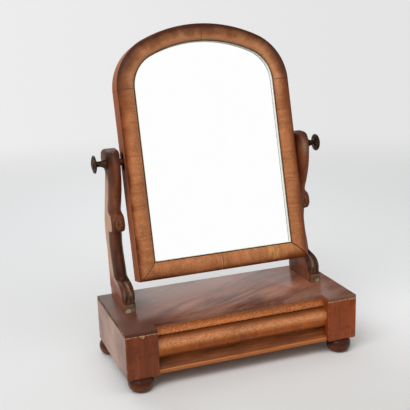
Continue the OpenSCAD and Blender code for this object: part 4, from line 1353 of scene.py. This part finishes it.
def make_floor():
    """A wide floor that takes the shadow and fades into the backdrop with distance; its colour is painted
    darker towards the front and the left and lighter to the right.
    """
    shader, place = material("Studio floor", colours().floor)
    tree = place.tree
    x, y, _ = split(place)
    unseen = 1.0 - add(tree, "ShaderNodeLightPath")["Is Camera Ray"]
    # Painted shade: the floor darkens towards the front and the left, and lightens to the right
    near = mixed(ramp(y, -0.75, 0.10, 1.0, 0.0), colours().floor, FLOOR_PAINTED_SHADE)
    shade = shaded(near, ramp(x, -0.55, 0.55, 0.90, 1.11))
    shade = mixed(unseen * ramp(y, -0.6, 0.0, 0.75, 0.0), shade, FLOOR_UNSEEN)
    coat_with(shader, shade, 0.9, Specular_IOR_Level=0.0)
    away = after("ShaderNodeVectorMath", {0: place}, operation="LENGTH")["Value"]
    blend = add(tree, "ShaderNodeMixShader", {0: ramp(away, 0.9, 2.6), 1: Field(shader.outputs[0]),
                                              2: add(tree, "ShaderNodeBsdfTransparent")[0]})
    feed(tree.nodes["Material Output"].inputs["Surface"], blend[0])
    mesh = bpy.data.meshes.new("floor")
    turns = np.linspace(0, 2 * math.pi, FLOOR_POINTS, endpoint=False)
    rim = [(FLOOR_RADIUS * math.cos(a), FLOOR_RADIUS * math.sin(a), 0) for a in turns]
    mesh.from_pydata(rim, [], [tuple(range(FLOOR_POINTS))])
    mesh.materials.append(finish("Studio floor"))
    placed("floor", mesh)


def make_world():
    """A pale studio whose ceiling and far right corner are darker for gloss and glass, and whose backdrop, as
    the camera sees it, is painted darker towards the right.
    """
    world = bpy.data.worlds.new("Studio")
    bpy.context.scene.world = world
    world.use_nodes = True
    tree = world.node_tree
    tree.nodes.clear()
    light_path = add(tree, "ShaderNodeLightPath")
    x, y, z = split(add(tree, "ShaderNodeTexCoord")["Generated"])
    corner = ramp(x, 0.30, 0.52) * ramp(y, 0.0, 0.4)
    bright = ramp(z, -0.02, 0.14, 0.40, 1.0) * ramp(z, 0.42, 0.72, 1.0, 0.22)
    bright = bright * ramp(y, -0.35, 0.45, 1.0, 0.85) * ramp(corner, 0.0, 1.0, 1.0, 0.12)
    shown = calc("ADD", light_path["Is Glossy Ray"], light_path["Is Transmission Ray"], clamp=True)
    seen = mixed(shown, STUDIO_LIGHT, joined(bright, bright, bright))
    # Painted shade: the backdrop darkens towards the right
    backdrop = shaded(colours().backdrop, ramp(x, 0.05, 0.62, 1.0, 0.92))
    seen = mixed(light_path["Is Camera Ray"], seen, backdrop)
    back = add(tree, "ShaderNodeBackground", {"Color": seen, "Strength": 1.0})
    add(tree, "ShaderNodeOutputWorld", {"Surface": back[0]})


def make_camera():
    """The camera at the photograph's angle."""
    data = bpy.data.cameras.new("Camera")
    data.sensor_width, data.lens = CAMERA_SENSOR, CAMERA_LENS
    camera = placed("Camera", data)
    yaw, pitch, roll = (math.radians(a) for a in CAMERA_TURN)
    ahead = Vector((-math.sin(yaw) * math.cos(pitch), math.cos(yaw) * math.cos(pitch), math.sin(pitch)))
    level = Vector((math.cos(yaw), math.sin(yaw), 0))
    upward = level.cross(ahead)
    across = math.cos(roll) * level + math.sin(roll) * upward
    up = math.cos(roll) * upward - math.sin(roll) * level
    turn = Matrix((across, up, -ahead)).transposed().to_4x4()
    camera.matrix_world = Matrix.Translation(CAMERA_PLACE) @ turn
    bpy.context.scene.camera = camera


# Operators


class TOILETMIRROR_OT_stage(bpy.types.Operator):
    """Set up floor, backdrop, lamps and camera"""

    bl_idname = "toilet_mirror.stage"
    bl_label = "Stage"

    def execute(self, context):
        context.scene.view_settings.view_transform = "Standard"
        make_floor()
        make_world()
        for lamp in LAMPS:
            soft_light(*lamp)
        make_camera()
        return {"FINISHED"}


class TOILETMIRROR_OT_finishes(bpy.types.Operator):
    """Make the shared effects and the finishes"""

    bl_idname = "toilet_mirror.finishes"
    bl_label = "Finishes"

    def execute(self, context):
        for make in (make_wood_grain, make_edge_wear, make_old_polish, make_veneer_leaves):
            make()
        make_pine("Softwood, upright", (0, 0, 0), (0, 0, 0))
        make_pine("Softwood, across", (0, 90, 0), (0.4, 0.1, 0.2))
        make_pine("Softwood, lengthwise", (90, 0, 0), (0.2, 0.5, 0.1))
        for make in (make_board_finish, make_block_finishes, make_moulding_finishes, make_frame_veneer,
                     make_frame_side, make_lip, make_carved, make_turned, make_blackened, make_silvered):
            make()
        make_metal("Aged brass", colours().brass, BRASS_TARNISH, 0.25, 0.50)
        make_metal("Screw steel", colours().steel, STEEL_TARNISH, 0.35, 0.60)
        return {"FINISHED"}


class TOILETMIRROR_OT_base(bpy.types.Operator):
    """Make the top board and corner blocks, and finish the base's other boards and blocks"""

    bl_idname = "toilet_mirror.base"
    bl_label = "Base"

    def execute(self, context):
        make_top_board()
        for side in SIDES:
            dress("End panel, " + side, side + "_end_panel")
            make_corner_block(side)
            dress("Softwood, lengthwise", side + "_bearer")
            dress("Softwood, upright", side + "_rear_block")
        dress("Softwood, across", "back_board", "bottom_board", "front_board", "glue_blocks")
        return {"FINISHED"}


class TOILETMIRROR_OT_mouldings(bpy.types.Operator):
    """Finish the cove, half-round and plinth along the front"""

    bl_idname = "toilet_mirror.mouldings"
    bl_label = "Front mouldings"

    def execute(self, context):
        for name in ("Frieze moulding", "Half round moulding", "Plinth moulding"):
            dress(name, name.lower().replace(" ", "_"))
        return {"FINISHED"}


class TOILETMIRROR_OT_feet(bpy.types.Operator):
    """Finish the four bun feet"""

    bl_idname = "toilet_mirror.feet"
    bl_label = "Feet"

    def execute(self, context):
        dress("Turned mahogany", "front_left_foot", "front_right_foot", "rear_left_foot", "rear_right_foot")
        return {"FINISHED"}


class TOILETMIRROR_OT_uprights(bpy.types.Operator):
    """Make the two scrolled and carved uprights"""

    bl_idname = "toilet_mirror.uprights"
    bl_label = "Uprights"

    def execute(self, context):
        for side in SIDES:
            make_upright(side)
        dress("Screw steel", "upright_screws")
        return {"FINISHED"}


class TOILETMIRROR_OT_frame(bpy.types.Operator):
    """Make the frame's five members in cross-banded veneer"""

    bl_idname = "toilet_mirror.frame"
    bl_label = "Frame"

    def execute(self, context):
        for side in SIDES:
            make_stile(side)
            make_arch(side)
        make_rail()
        return {"FINISHED"}


class TOILETMIRROR_OT_glass(bpy.types.Operator):
    """Finish the glass, its wedges, the backboard and its screws"""

    bl_idname = "toilet_mirror.glass"
    bl_label = "Glass and back"

    def execute(self, context):
        dress("Silvered glass", "mirror_glass")
        dress("Softwood, upright", "glass_wedges", "backboard")
        dress("Screw steel", "backboard_screws")
        return {"FINISHED"}


class TOILETMIRROR_OT_mirror_screws(bpy.types.Operator):
    """Finish the mirror screws, knobs, spacers and brass plates"""

    bl_idname = "toilet_mirror.mirror_screws"
    bl_label = "Mirror screws"

    def execute(self, context):
        for name, node in (("Blackened wood", "knob"), ("Turned mahogany", "spacer"),
                           ("Screw steel", "mirror_screw"), ("Aged brass", "pivot_plate")):
            dress(name, "left_" + node, "right_" + node)
        dress("Aged brass", "pivot_plate_screws")
        return {"FINISHED"}


OPERATORS = (TOILETMIRROR_OT_stage, TOILETMIRROR_OT_finishes, TOILETMIRROR_OT_base, TOILETMIRROR_OT_mouldings,
             TOILETMIRROR_OT_feet, TOILETMIRROR_OT_uprights, TOILETMIRROR_OT_frame, TOILETMIRROR_OT_glass,
             TOILETMIRROR_OT_mirror_screws)


class TOILETMIRROR_PT_panel(bpy.types.Panel):
    """Lists the steps, sizes and colours"""

    bl_idname = "TOILETMIRROR_PT_panel"
    bl_label = "Toilet mirror"
    bl_space_type = "VIEW_3D"
    bl_region_type = "UI"
    bl_category = "Toilet mirror"

    def draw(self, context):
        for step in OPERATORS:
            self.layout.operator(step.bl_idname)
        for group in (sizes(), colours()):
            box = self.layout.box()
            for label in group.__annotations__:
                box.prop(group, label)


CLASSES = (ToiletMirrorSizes, ToiletMirrorColours, *OPERATORS, TOILETMIRROR_PT_panel)


def register():
    """Registers the classes and the scene's two groups of settings."""
    for cls in CLASSES:
        bpy.utils.register_class(cls)
    bpy.types.Scene.toilet_mirror_sizes = PointerProperty(type=ToiletMirrorSizes)
    bpy.types.Scene.toilet_mirror_colours = PointerProperty(type=ToiletMirrorColours)


def unregister():
    """Takes the settings and the classes away again."""
    del bpy.types.Scene.toilet_mirror_colours
    del bpy.types.Scene.toilet_mirror_sizes
    for cls in reversed(CLASSES):
        bpy.utils.unregister_class(cls)


def main():
    register()
    bpy.ops.toilet_mirror.stage()
    bpy.ops.toilet_mirror.finishes()
    bpy.ops.toilet_mirror.base()
    bpy.ops.toilet_mirror.mouldings()
    bpy.ops.toilet_mirror.feet()
    bpy.ops.toilet_mirror.uprights()
    bpy.ops.toilet_mirror.frame()
    bpy.ops.toilet_mirror.glass()
    bpy.ops.toilet_mirror.mirror_screws()


if __name__ == "__main__":
    main()
